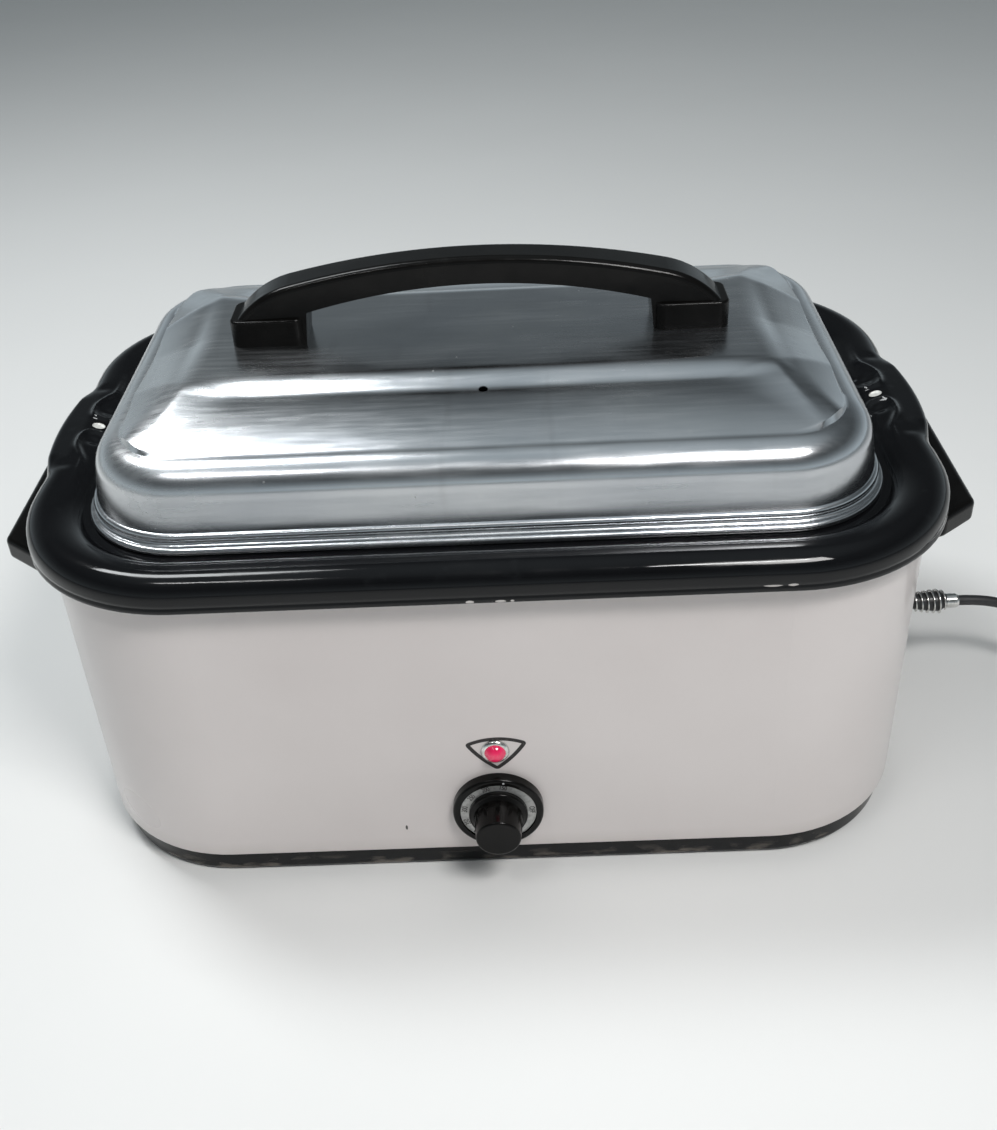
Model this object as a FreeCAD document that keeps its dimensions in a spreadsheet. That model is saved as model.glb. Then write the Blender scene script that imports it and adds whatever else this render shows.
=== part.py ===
import FreeCAD, Part
import Sketcher
import math
import os

# An electric roaster oven.  A steel casing stands on a black base pan and holds a heating well.
# A black enamelled inset pan hangs in the well by its rolled rim, and an aluminium lid sits on
# the rim.  The frame has +X to the right, +Y to the back and +Z up, in millimetres, with its
# origin at the centre of the base on the surface that the oven stands on.

Vector = FreeCAD.Vector
TOLERANCE = 0.001
RUN_SHARE = 0.45
VOLUME_SHARE = 0.002

doc = FreeCAD.newDocument("RoasterOven")
sheet = doc.addObject("Spreadsheet::Sheet", "Sizes")
sub_parts = []


class Size:
    """A length or angle: its number, and the spreadsheet expression that gives it."""

    def __init__(self, value, text):
        self.value = value
        self.text = text

    def __add__(self, other):
        other = as_size(other)
        return Size(self.value + other.value, f"({self.text} + {other.text})")

    def __radd__(self, other):
        return as_size(other) + self

    def __sub__(self, other):
        other = as_size(other)
        return Size(self.value - other.value, f"({self.text} - {other.text})")

    def __rsub__(self, other):
        return as_size(other) - self

    def __mul__(self, other):
        other = as_size(other)
        return Size(self.value * other.value, f"({self.text} * {other.text})")

    def __rmul__(self, other):
        return as_size(other) * self

    def __truediv__(self, other):
        other = as_size(other)
        return Size(self.value / other.value, f"({self.text} / {other.text})")

    def __neg__(self):
        return Size(-self.value, f"(-1 * {self.text})")

    def root(self):
        return Size(math.sqrt(self.value), f"sqrt({self.text})")


def as_size(thing):
    """Plain numbers take part in size arithmetic as they are."""
    if isinstance(thing, Size):
        return thing
    return Size(float(thing), repr(float(thing)))


def dimension(alias, value):
    """Writes one driving dimension into the next row of the sheet, under its alias."""
    row = len(dimension.aliases) + 1
    sheet.set(f"A{row}", alias)
    sheet.set(f"B{row}", str(value))
    sheet.setAlias(f"B{row}", alias)
    dimension.aliases.append(alias)
    return Size(float(value), f"Sizes.{alias}")


dimension.aliases = []

# ---------------------------------------------------------------- driving dimensions

# Casing and base
casing_length = dimension("casing_length", 539)
casing_width = dimension("casing_width", 359)
casing_corner = dimension("casing_corner", 95.5)
casing_sheet = dimension("casing_sheet", 1.0)
casing_hem = dimension("casing_hem", 12)
casing_edge_round = dimension("casing_edge_round", 2.5)
base_height = dimension("base_height", 17.6)
base_inset = dimension("base_inset", 4)
base_sheet = dimension("base_sheet", 1.0)
base_edge_round = dimension("base_edge_round", 4)

# Rim and inset pan
rim_overhang = dimension("rim_overhang", 10.5)
rim_lip_level = dimension("rim_lip_level", 222)
rim_lip_rise = dimension("rim_lip_rise", 8)
rim_roll = dimension("rim_roll", 13)
rim_shoulder = dimension("rim_shoulder", 34)
ledge_width = dimension("ledge_width", 11)
ledge_drop = dimension("ledge_drop", 9)
pan_sheet = dimension("pan_sheet", 1.2)
pan_bend = dimension("pan_bend", 2)
pan_depth = dimension("pan_depth", 155)
pan_floor_round = dimension("pan_floor_round", 22)

# Lifting lugs of the rim
lug_reach = dimension("lug_reach", 5)
lug_half_span = dimension("lug_half_span", 55)
lug_drop = dimension("lug_drop", 9)
lug_bow = dimension("lug_bow", 3)
lug_sink = dimension("lug_sink", 0.6)
lug_hole = dimension("lug_hole", 4)
lug_hole_inset = dimension("lug_hole_inset", 22)
curl_ridge = dimension("curl_ridge", 2)
curl_lift = dimension("curl_lift", 0.4)
curl_width = dimension("curl_width", 14.5)
curl_inset = dimension("curl_inset", 15.5)
curl_near = dimension("curl_near", 9)
curl_inner_end = dimension("curl_inner_end", 26)
curl_outer_end = dimension("curl_outer_end", 38)
curl_neck = dimension("curl_neck", 46)
curl_neck_inset = dimension("curl_neck_inset", 22.5)
curl_tail = dimension("curl_tail", 78)

# Heating well
well_gap = dimension("well_gap", 8)
well_sheet = dimension("well_sheet", 1.0)
well_floor_gap = dimension("well_floor_gap", 12)
well_floor_round = dimension("well_floor_round", 24)
flange_setback = dimension("flange_setback", 1.5)

# Heaters and insulation
band_clearance = dimension("band_clearance", 2)
band_height = dimension("band_height", 50)
band_thickness = dimension("band_thickness", 2.4)
band_gap = dimension("band_gap", 14)
air_gap = dimension("air_gap", 0.4)
blanket_clearance = dimension("blanket_clearance", 7.2)
blanket_thickness = dimension("blanket_thickness", 18)
element_radius = dimension("element_radius", 3.3)
element_inset = dimension("element_inset", 68)
element_corner = dimension("element_corner", 60)
element_drop = dimension("element_drop", 1.2)
element_split = dimension("element_split", 36)
element_clip_width = dimension("element_clip_width", 9)
reflector_gap = dimension("reflector_gap", 16)
reflector_inset = dimension("reflector_inset", 16)
reflector_corner = dimension("reflector_corner", 50)
reflector_sheet = dimension("reflector_sheet", 0.8)

# Tie rods that clamp the well, the casing and the base together
rod_gap = dimension("rod_gap", 10.7)
rod_radius = dimension("rod_radius", 2)
rod_clearance = dimension("rod_clearance", 0.3)
rod_end_gap = dimension("rod_end_gap", 1)
sleeve_radius = dimension("sleeve_radius", 4)
cup_radius = dimension("cup_radius", 10)
cup_height = dimension("cup_height", 7)
nut_flats = dimension("nut_flats", 7)
nut_thickness = dimension("nut_thickness", 3.2)

# Thermostat, dial and knob
dial_height = dimension("dial_height", 55)
bezel_radius = dimension("bezel_radius", 28.5)
bezel_depth = dimension("bezel_depth", 7)
bezel_lip = dimension("bezel_lip", 4.2)
bezel_floor = dimension("bezel_floor", 1.5)
bezel_round = dimension("bezel_round", 2)
ring_inner_radius = dimension("ring_inner_radius", 10)
ring_thickness = dimension("ring_thickness", 1)
ring_clearance = dimension("ring_clearance", 0.5)
dial_gap = dimension("dial_gap", 1)
skirt_radius = dimension("skirt_radius", 18.5)
skirt_depth = dimension("skirt_depth", 5)
grip_radius = dimension("grip_radius", 15.5)
grip_tip_radius = dimension("grip_tip_radius", 14)
knob_depth = dimension("knob_depth", 23)
flute_radius = dimension("flute_radius", 3)
flute_depth = dimension("flute_depth", 1.1)
flute_count = 12
shaft_radius = dimension("shaft_radius", 3)
shaft_clearance = dimension("shaft_clearance", 0.05)
bushing_radius = dimension("bushing_radius", 5)
hole_clearance = dimension("hole_clearance", 0.2)
thermostat_width = dimension("thermostat_width", 46)
thermostat_height = dimension("thermostat_height", 36)
thermostat_depth = dimension("thermostat_depth", 21)
thermostat_round = dimension("thermostat_round", 3)
bushing_nut_flats = dimension("bushing_nut_flats", 14)
bushing_nut_thickness = dimension("bushing_nut_thickness", 2.2)
bulb_radius = dimension("bulb_radius", 3)
bulb_length = dimension("bulb_length", 60)
bulb_start = dimension("bulb_start", 36)
bulb_rise = dimension("bulb_rise", 1.2)
capillary_radius = dimension("capillary_radius", 1)
grub_radius = dimension("grub_radius", 1.5)
grub_length = dimension("grub_length", 7)

# Pilot light
lamp_rise = dimension("lamp_rise", 47)
lens_radius = dimension("lens_radius", 6.6)
lens_bezel_radius = dimension("lens_bezel_radius", 8.8)
lens_bezel_depth = dimension("lens_bezel_depth", 2.4)
lens_dome = dimension("lens_dome", 4.6)
lens_neck_wall = dimension("lens_neck_wall", 0.7)
lens_neck_length = dimension("lens_neck_length", 3.6)
push_nut_radius = dimension("push_nut_radius", 10.5)
push_nut_thickness = dimension("push_nut_thickness", 0.8)
lamp_radius = dimension("lamp_radius", 3)
lamp_length = dimension("lamp_length", 12)
holder_wall = dimension("holder_wall", 1.2)

# Side handles
handle_drop = dimension("handle_drop", 26)
handle_thickness = dimension("handle_thickness", 16)
handle_reach = dimension("handle_reach", 32.5)
handle_inset = dimension("handle_inset", 72.5)
handle_taper = dimension("handle_taper", 19)
handle_end_step = dimension("handle_end_step", 9)
handle_corner = dimension("handle_corner", 7)
handle_edge_round = dimension("handle_edge_round", 4)
recess_inset = dimension("recess_inset", 26)
recess_start = dimension("recess_start", 7)
recess_end = dimension("recess_end", 26)
recess_depth = dimension("recess_depth", 9)
handle_bolt_inset = dimension("handle_bolt_inset", 10)
handle_bolt_radius = dimension("handle_bolt_radius", 2.5)
handle_bolt_depth = dimension("handle_bolt_depth", 16)
handle_bolt_stick = dimension("handle_bolt_stick", 5.5)
handle_nut_flats = dimension("handle_nut_flats", 8)
handle_nut_thickness = dimension("handle_nut_thickness", 4)

# Lid
lid_seat = dimension("lid_seat", 5.5)
lid_sheet = dimension("lid_sheet", 1.2)
bead_height = dimension("bead_height", 5)
bead_round = dimension("bead_round", 2.7)
bead_tuck = dimension("bead_tuck", 1)
groove_inset = dimension("groove_inset", 4.4)
groove_height = dimension("groove_height", 2.6)
wall_inset = dimension("wall_inset", 6)
wall_lean = dimension("wall_lean", 3)
wall_height = dimension("wall_height", 20)
shoulder_round = dimension("shoulder_round", 19)
shoulder_inset = dimension("shoulder_inset", 26)
shoulder_level = dimension("shoulder_level", 50)
crease_inset_x = dimension("crease_inset_x", 57.5)
crease_inset_y = dimension("crease_inset_y", 78.5)
crease_corner = dimension("crease_corner", 22)
crease_level = dimension("crease_level", 58)
panel_inset = dimension("panel_inset", 8)
panel_level = dimension("panel_level", 67)
panel_round = dimension("panel_round", 3.5)
vent_radius = dimension("vent_radius", 2.8)
vent_offset = dimension("vent_offset", 2)

# Lid handle
bail_end_inset = dimension("bail_end_inset", 19)
bail_block_length = dimension("bail_block_length", 47)
bail_block_height = dimension("bail_block_height", 17)
bail_block_corner = dimension("bail_block_corner", 7)
bail_block_half_width = dimension("bail_block_half_width", 17)
bail_block_round = dimension("bail_block_round", 1.5)
bail_step = dimension("bail_step", 3)
bail_leg_lean = dimension("bail_leg_lean", 2)
bail_inner_rise = dimension("bail_inner_rise", 20)
bail_knee_run = dimension("bail_knee_run", 38)
bail_knee_rise = dimension("bail_knee_rise", 37)
bail_arch = dimension("bail_arch", 520)
bail_inner_arch = dimension("bail_inner_arch", 420)
bail_half_width = dimension("bail_half_width", 15)
bail_waist = dimension("bail_waist", 12.5)
bail_edge_round = dimension("bail_edge_round", 4)
lid_screw_inset = dimension("lid_screw_inset", 24)
lid_screw_y = dimension("lid_screw_y", 8)
lid_screw_radius = dimension("lid_screw_radius", 2.1)
lid_screw_depth = dimension("lid_screw_depth", 12)
lid_screw_head = dimension("lid_screw_head", 4)
lid_screw_head_height = dimension("lid_screw_head_height", 2.6)
lid_washer_radius = dimension("lid_washer_radius", 6)
lid_washer_thickness = dimension("lid_washer_thickness", 1)

# Power inlet and appliance plug
inlet_height = dimension("inlet_height", 68)
socket_half_width = dimension("socket_half_width", 16)
socket_half_height = dimension("socket_half_height", 11)
socket_wall = dimension("socket_wall", 1.8)
socket_depth = dimension("socket_depth", 22)
socket_flange = dimension("socket_flange", 2)
socket_flange_half_width = dimension("socket_flange_half_width", 26)
socket_flange_half_height = dimension("socket_flange_half_height", 16)
pin_spacing = dimension("pin_spacing", 17)
pin_radius = dimension("pin_radius", 2.3)
pin_length = dimension("pin_length", 17)
pin_tail = dimension("pin_tail", 5)
pin_clearance = dimension("pin_clearance", 0.4)
plug_clearance = dimension("plug_clearance", 0.7)
plug_length = dimension("plug_length", 46)
plug_taper_length = dimension("plug_taper_length", 20)
plug_tail_half_width = dimension("plug_tail_half_width", 10)
plug_edge_round = dimension("plug_edge_round", 3)
plug_screw_radius = dimension("plug_screw_radius", 1.6)
plug_screw_inset = dimension("plug_screw_inset", 12)
plug_screw_spacing = dimension("plug_screw_spacing", 7.5)
contact_wall = dimension("contact_wall", 0.6)

# Spring guard, ferrule and cord
guard_start_radius = dimension("guard_start_radius", 6.4)
guard_end_radius = dimension("guard_end_radius", 9.2)
guard_length = dimension("guard_length", 34)
guard_turns = 8
guard_wire_share = dimension("guard_wire_share", 0.62)
guard_groove = dimension("guard_groove", 1.1)
guard_nose = dimension("guard_nose", 3.5)
ferrule_radius = dimension("ferrule_radius", 5.4)
ferrule_length = dimension("ferrule_length", 9)
cord_radius = dimension("cord_radius", 3.75)
coil_turn_radius = dimension("coil_turn_radius", 40)
coil_layers = dimension("coil_layers", 3)
tie_width = dimension("tie_width", 9)
tie_thickness = dimension("tie_thickness", 1.2)
wall_plug_radius = dimension("wall_plug_radius", 14)
wall_plug_length = dimension("wall_plug_length", 30)
blade_length = dimension("blade_length", 17.5)
blade_width = dimension("blade_width", 6.3)
blade_thickness = dimension("blade_thickness", 1.5)
blade_spacing = dimension("blade_spacing", 12.7)
lead_radius = dimension("lead_radius", 1.4)
lead_clearance = dimension("lead_clearance", 16)
lead_terminal_rise = dimension("lead_terminal_rise", 1.3)

doc.recompute()


# ---------------------------------------------------------------- derived places

casing_right = casing_length / 2
casing_front = casing_width / 2
rim_length = casing_length + 2 * rim_overhang
rim_width = casing_width + 2 * rim_overhang
rim_corner = casing_corner + rim_overhang
rim_crest = rim_lip_level + rim_lip_rise + rim_roll
ledge_level = rim_crest - ledge_drop
rim_back = rim_shoulder - rim_roll
rim_back_radius = (rim_back * rim_back + ledge_drop * ledge_drop) / (2 * ledge_drop)
ledge_start = rim_shoulder
ledge_end = ledge_start + ledge_width
pan_outer_inset = ledge_end + pan_bend
well_top = ledge_level - pan_sheet
casing_top = well_top - well_sheet
well_outer_inset = pan_outer_inset - well_gap
well_length = rim_length - 2 * well_outer_inset
well_width = rim_width - 2 * well_outer_inset
well_corner = rim_corner - well_outer_inset
pan_floor_bottom = ledge_level - pan_depth - pan_sheet
well_floor_bottom = pan_floor_bottom - well_floor_gap - well_sheet
element_level = well_floor_bottom - element_radius - element_drop
element_half_x = well_length / 2 - element_inset
element_half_y = well_width / 2 - element_inset
reflector_level = well_floor_bottom - reflector_gap - reflector_sheet
bulb_level = well_floor_bottom + well_floor_round + bulb_rise
clip_radius = bulb_radius + casing_sheet
bulb_front = well_width / 2 + clip_radius
band_level = bulb_level + clip_radius + band_clearance
handle_level = rim_lip_level - handle_drop
handle_inner_half = casing_front - handle_inset
handle_outer_half = handle_inner_half - handle_taper
handle_bolt_half = handle_outer_half - handle_bolt_inset
handle_bolt_level = handle_level + handle_thickness / 2
blanket_level = inlet_height + socket_half_height + socket_wall + blanket_clearance
blanket_top = handle_bolt_level - handle_nut_flats - blanket_clearance
lamp_height = dial_height + lamp_rise
inlet_mouth = casing_right + socket_flange
socket_back = inlet_mouth - socket_depth
plug_start = socket_back + plug_clearance
plug_end = plug_start + plug_length
guard_end = plug_end + guard_length
ferrule_end = guard_end + ferrule_length
lid_inset = ledge_start + lid_seat
lid_length = rim_length - 2 * lid_inset
lid_width = rim_width - 2 * lid_inset
lid_corner = rim_corner - lid_inset
crease_length = lid_length - 2 * crease_inset_x
crease_width = lid_width - 2 * crease_inset_y
panel_length = crease_length - 2 * panel_inset
panel_width = crease_width - 2 * panel_inset
panel_corner = crease_corner - panel_inset
lid_panel = ledge_level + panel_level
bail_half = panel_length / 2 - bail_end_inset
bail_foot_half = bail_half - bail_block_length
bail_inner_half = bail_foot_half - bail_leg_lean
bail_knee_half = bail_half - bail_knee_run


# ---------------------------------------------------------------- drawing helpers

def bind(thing, path, size):
    """Ties a property or a sketch constraint to the sheet."""
    thing.setExpression(path, as_size(size).text)


def keep(thing, node):
    """Names a finished sub-part after its file."""
    thing.Label = node
    sub_parts.append(thing)
    return thing


def new_body(name):
    return doc.addObject("PartDesign::Body", name)


def origin_plane(body, role):
    for feature in body.Origin.OriginFeatures:
        if feature.Role == role:
            return feature
    raise ValueError(f"{body.Name} has no {role}")


def new_sketch(body, name, role="XY_Plane", offset=0):
    """A sketch on one of the body's own planes, moved along the plane's normal."""
    sketch = body.newObject("Sketcher::SketchObject", name)
    sketch.AttachmentSupport = [(origin_plane(body, role), "")]
    sketch.MapMode = "FlatFace"
    bind(sketch, "AttachmentOffset.Base.z", offset)
    return sketch


def constrain(sketch, name, size, *arguments):
    """Adds a dimensional constraint that follows the sheet."""
    index = sketch.addConstraint(Sketcher.Constraint(*arguments, size.value))
    label = f"{name}{index}"
    sketch.renameConstraint(index, label)
    bind(sketch, f"Constraints.{label}", size)


def pin_point(sketch, edge, end, x, y):
    """Fixes one vertex at x, y from the sketch's origin."""
    for kind, size, axis in (("DistanceX", as_size(x), -2), ("DistanceY", as_size(y), -1)):
        if abs(size.value) < TOLERANCE:
            sketch.addConstraint(Sketcher.Constraint("PointOnObject", edge, end, axis))
        elif size.value > 0:
            constrain(sketch, kind, size, kind, -1, 1, edge, end)
        else:
            constrain(sketch, kind, -size, kind, edge, end, -1, 1)


def draw_outline(sketch, points, arcs=None):
    """Draws a closed outline through points; arcs maps an edge's index to its radius,
    which is positive where the edge turns left and negative where it turns right."""
    arcs = arcs or {}
    count = len(points)
    places = [Vector(as_size(x).value, as_size(y).value, 0) for x, y in points]
    ends = []
    for index in range(count):
        start = places[index]
        finish = places[(index + 1) % count]
        if index not in arcs:
            sketch.addGeometry(Part.LineSegment(start, finish), False)
            ends.append((1, 2))
            continue
        radius = as_size(arcs[index])
        chord = finish - start
        half = chord.Length / 2
        side = math.copysign(1, radius.value)
        height = math.sqrt(max(radius.value ** 2 - half ** 2, 0))
        normal = Vector(-chord.y, chord.x, 0).normalize()
        centre = (start + finish) * 0.5 + normal * (side * height)
        first, last = (start, finish) if side > 0 else (finish, start)
        start_angle = math.atan2(first.y - centre.y, first.x - centre.x)
        end_angle = math.atan2(last.y - centre.y, last.x - centre.x)
        if end_angle < start_angle:
            end_angle += 2 * math.pi
        circle = Part.Circle(centre, Vector(0, 0, 1), abs(radius.value))
        sketch.addGeometry(Part.ArcOfCircle(circle, start_angle, end_angle), False)
        ends.append((1, 2) if side > 0 else (2, 1))
    for index in range(count):
        following = (index + 1) % count
        sketch.addConstraint(
            Sketcher.Constraint("Coincident", index, ends[index][1], following, ends[following][0])
        )
        pin_point(sketch, index, ends[index][0], *points[index])
    for index, radius in arcs.items():
        size = as_size(radius)
        constrain(sketch, "Radius", size if size.value > 0 else -size, "Radius", index)


def draw_rounded(sketch, length, width, corner):
    """Draws a centred rectangle with round corners."""
    half_x = length.value / 2
    half_y = width.value / 2
    radius = corner.value
    centre_x = half_x - radius
    centre_y = half_y - radius
    turns = ((1, 1), (-1, 1), (-1, -1), (1, -1))
    quarters = [(x_side * centre_x, y_side * centre_y) for x_side, y_side in turns]
    for index, (x, y) in enumerate(quarters):
        circle = Part.Circle(Vector(x, y, 0), Vector(0, 0, 1), radius)
        start = index * math.pi / 2
        sketch.addGeometry(Part.ArcOfCircle(circle, start, start + math.pi / 2), False)
    sides = (
        ((centre_x, half_y), (-centre_x, half_y), "Horizontal"),
        ((-half_x, centre_y), (-half_x, -centre_y), "Vertical"),
        ((-centre_x, -half_y), (centre_x, -half_y), "Horizontal"),
        ((half_x, -centre_y), (half_x, centre_y), "Vertical"),
    )
    for index, (start, finish, direction) in enumerate(sides):
        line = sketch.addGeometry(Part.LineSegment(Vector(*start, 0), Vector(*finish, 0)), False)
        sketch.addConstraint(Sketcher.Constraint("Tangent", index, 2, line, 1))
        sketch.addConstraint(Sketcher.Constraint("Tangent", line, 2, (index + 1) % 4, 1))
        sketch.addConstraint(Sketcher.Constraint(direction, line))
    for index in (1, 2, 3):
        sketch.addConstraint(Sketcher.Constraint("Equal", 0, index))
    sketch.addConstraint(Sketcher.Constraint("Symmetric", 0, 3, 2, 3, -1, 1))
    constrain(sketch, "Radius", corner, "Radius", 0)
    constrain(sketch, "Length", length, "DistanceX", 5, 1, 7, 1)
    constrain(sketch, "Width", width, "DistanceY", 6, 1, 4, 1)


def draw_circle(sketch, x, y, radius):
    """Adds one circle at x, y."""
    radius = as_size(radius)
    centre = Vector(as_size(x).value, as_size(y).value, 0)
    edge = sketch.addGeometry(Part.Circle(centre, Vector(0, 0, 1), radius.value), False)
    pin_point(sketch, edge, 3, x, y)
    constrain(sketch, "Radius", radius, "Radius", edge)


def pad(body, name, sketch, length, midplane=False, reverse=False):
    feature = body.newObject("PartDesign::Pad", name)
    feature.Profile = sketch
    feature.Midplane = midplane
    feature.Reversed = reverse
    bind(feature, "Length", length)
    sketch.Visibility = False
    return feature


def pocket(body, name, sketch, length=None, reverse=False, midplane=False):
    """Cuts against the sketch's normal, along it when reversed, and right through with no length."""
    feature = body.newObject("PartDesign::Pocket", name)
    feature.Profile = sketch
    feature.Reversed = reverse
    feature.Midplane = midplane
    if length is None:
        feature.Type = "ThroughAll"
    else:
        bind(feature, "Length", length)
    sketch.Visibility = False
    return feature


def rounded_pad(body, name, length, width, corner, level, height):
    sketch = new_sketch(body, f"{name}Outline", offset=level)
    draw_rounded(sketch, length, width, corner)
    return pad(body, name, sketch, height)


def rounded_hollow(body, name, length, width, corner, level, height=None):
    """Cuts a rounded rectangle upwards from its level."""
    sketch = new_sketch(body, f"{name}Outline", offset=level)
    draw_rounded(sketch, length, width, corner)
    return pocket(body, name, sketch, height, reverse=True)


def block(body, name, x, y, level, height, cut=False):
    """A box between the two x and the two y values, padded or cut upwards from its level."""
    sketch = new_sketch(body, f"{name}Outline", offset=level)
    low_x, high_x = x
    low_y, high_y = y
    draw_outline(sketch, [(low_x, low_y), (high_x, low_y), (high_x, high_y), (low_x, high_y)])
    if cut:
        return pocket(body, name, sketch, height, reverse=True)
    return pad(body, name, sketch, height)


def revolve(body, name, points, arcs=None, cut=False):
    """Turns an outline of (radius, height) points about the body's Z axis."""
    sketch = new_sketch(body, f"{name}Outline", "XZ_Plane")
    draw_outline(sketch, points, arcs)
    feature = body.newObject("PartDesign::Groove" if cut else "PartDesign::Revolution", name)
    feature.Profile = sketch
    feature.ReferenceAxis = (sketch, ["V_Axis"])
    feature.Angle = 360
    sketch.Visibility = False
    return feature


def edges_between(shape, low, high):
    """The names of the edges whose whole height lies between low and high."""
    names = []
    for index, edge in enumerate(shape.Edges, 1):
        box = edge.BoundBox
        if box.ZMin > low - TOLERANCE and box.ZMax < high + TOLERANCE:
            names.append(f"Edge{index}")
    return names


def fillet(body, name, base, edges, radius):
    feature = body.newObject("PartDesign::Fillet", name)
    feature.Base = (base, edges)
    bind(feature, "Radius", radius)
    return feature


def fillet_level(body, name, base, level, radius):
    """Rounds the edges that lie in one level."""
    doc.recompute()
    value = as_size(level).value
    return fillet(body, name, base, edges_between(base.Shape, value, value), radius)


def place(thing, x=0, y=0, z=0, rotation=None):
    """Places a sub-part, with its position tied to the sheet."""
    if rotation is not None:
        thing.Placement = FreeCAD.Placement(Vector(0, 0, 0), rotation)
    bind(thing, "Placement.Base.x", x)
    bind(thing, "Placement.Base.y", y)
    bind(thing, "Placement.Base.z", z)
    return thing


FACING_FRONT = FreeCAD.Rotation(Vector(1, 0, 0), 90)
FACING_RIGHT = FreeCAD.Rotation(Vector(0, 1, 0), 90)
FACING_LEFT = FreeCAD.Rotation(Vector(0, 1, 0), -90)


def cylinder(name, radius, height, x=0, y=0, z=0, rotation=None):
    thing = doc.addObject("Part::Cylinder", name)
    bind(thing, "Radius", radius)
    bind(thing, "Height", height)
    return place(thing, x, y, z, rotation)


def hex_prism(name, flats, height, x=0, y=0, z=0, rotation=None):
    thing = doc.addObject("Part::Prism", name)
    thing.Polygon = 6
    bind(thing, "Circumradius", flats / math.sqrt(3))
    bind(thing, "Height", height)
    return place(thing, x, y, z, rotation)


def cut_away(name, base, tool):
    thing = doc.addObject("Part::Cut", name)
    thing.Base = base
    thing.Tool = tool
    return thing


def fuse(name, parts):
    thing = doc.addObject("Part::MultiFuse", name)
    thing.Shapes = parts
    return thing


def group(name, parts):
    """Several identical solids that share one node."""
    thing = doc.addObject("Part::Compound", name)
    thing.Links = parts
    return thing


def tube(name, points, radius, bend=None, report=False):
    """A round tube along straight runs that are joined by tangent arcs: each as large as its
    runs allow, or of the radius bend."""
    places = [Vector(*point) for point in points]
    edges = []
    radii = []
    start = places[0]
    for before, corner, after in zip(places, places[1:], places[2:]):
        back = before - corner
        ahead = after - corner
        turn = math.pi - back.getAngle(ahead)
        shorter = min(back.Length, ahead.Length)
        reach = RUN_SHARE * shorter if bend is None else bend * math.tan(turn / 2)
        radii.append(reach / math.tan(turn / 2))
        back.normalize()
        ahead.normalize()
        arc_start = corner + back * reach
        arc_end = corner + ahead * reach
        bisector = (back + ahead).normalize()
        centre = corner + bisector * math.hypot(reach, radii[-1])
        middle = centre - bisector * radii[-1]
        edges.append(Part.LineSegment(start, arc_start).toShape())
        edges.append(Part.Arc(arc_start, middle, arc_end).toShape())
        start = arc_end
    edges.append(Part.LineSegment(start, places[-1]).toShape())
    path = Part.Wire(edges)
    heading = places[1] - places[0]
    section = Part.Wire(Part.makeCircle(radius, places[0], heading))
    shape = path.makePipeShell([section], True, False)
    thing = doc.addObject("Part::Feature", name)
    thing.Shape = shape
    expected = math.pi * radius ** 2 * path.Length
    if abs(shape.Volume - expected) > VOLUME_SHARE * expected:
        raise ValueError(f"{name}: volume {shape.Volume:.0f}, expected {expected:.0f}")
    if report:
        print(name, "length", round(path.Length, 1), "radii", [round(value, 1) for value in radii])
    return thing


def cavity(name, length, width, corner, level, height, floor_round):
    """The hollow of a tub, as a body of its own: upright walls and a rounded floor edge."""
    body = new_body(name)
    hollow = rounded_pad(body, f"{name}Block", length, width, corner, level, height)
    fillet_level(body, f"{name}Round", hollow, level, floor_round)
    return body


# ---------------------------------------------------------------- casing and base

def make_outer_casing():
    """The white wrap: an upright band with a hem turned in at its top and at its foot."""
    body = new_body("OuterCasing")
    height = casing_top - base_height
    wall = rounded_pad(body, "Wrap", casing_length, casing_width, casing_corner, base_height, height)
    fillet_level(body, "FootRound", wall, base_height, casing_edge_round)
    rounded_hollow(
        body,
        "HemOpening",
        casing_length - 2 * casing_hem,
        casing_width - 2 * casing_hem,
        casing_corner - casing_hem,
        base_height,
    )
    rounded_hollow(
        body,
        "Inside",
        casing_length - 2 * casing_sheet,
        casing_width - 2 * casing_sheet,
        casing_corner - casing_sheet,
        base_height + casing_edge_round,
        height - casing_edge_round - casing_sheet,
    )
    front = new_sketch(body, "FrontHoles", "XZ_Plane")
    draw_circle(front, 0, dial_height, bushing_radius + hole_clearance)
    draw_circle(front, 0, lamp_height, lens_radius + lens_neck_wall + hole_clearance)
    pocket(body, "FrontPiercing", front, reverse=True)
    ends = new_sketch(body, "EndHoles", "YZ_Plane")
    bolt_hole = handle_bolt_radius + hole_clearance
    for side in (-1, 1):
        draw_circle(ends, side * handle_bolt_half, handle_bolt_level, bolt_hole)
    pocket(body, "EndPiercing", ends, midplane=True)
    inlet = new_sketch(body, "InletHole", "YZ_Plane")
    half_width = socket_half_width + socket_wall + hole_clearance
    half_height = socket_half_height + socket_wall + hole_clearance
    draw_outline(
        inlet,
        [
            (-half_width, inlet_height - half_height),
            (half_width, inlet_height - half_height),
            (half_width, inlet_height + half_height),
            (-half_width, inlet_height + half_height),
        ],
    )
    pocket(body, "InletPiercing", inlet, reverse=True)
    return keep(body, "outer_casing")


def rod_places():
    """The rods stand on the diagonals of the floor heater's corners, just outside its bends."""
    diagonal = (element_corner + rod_gap) / math.sqrt(2)
    x = element_half_x - element_corner + diagonal
    y = element_half_y - element_corner + diagonal
    return [(side_x * x, side_y * y) for side_x in (-1, 1) for side_y in (-1, 1)]


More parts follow.
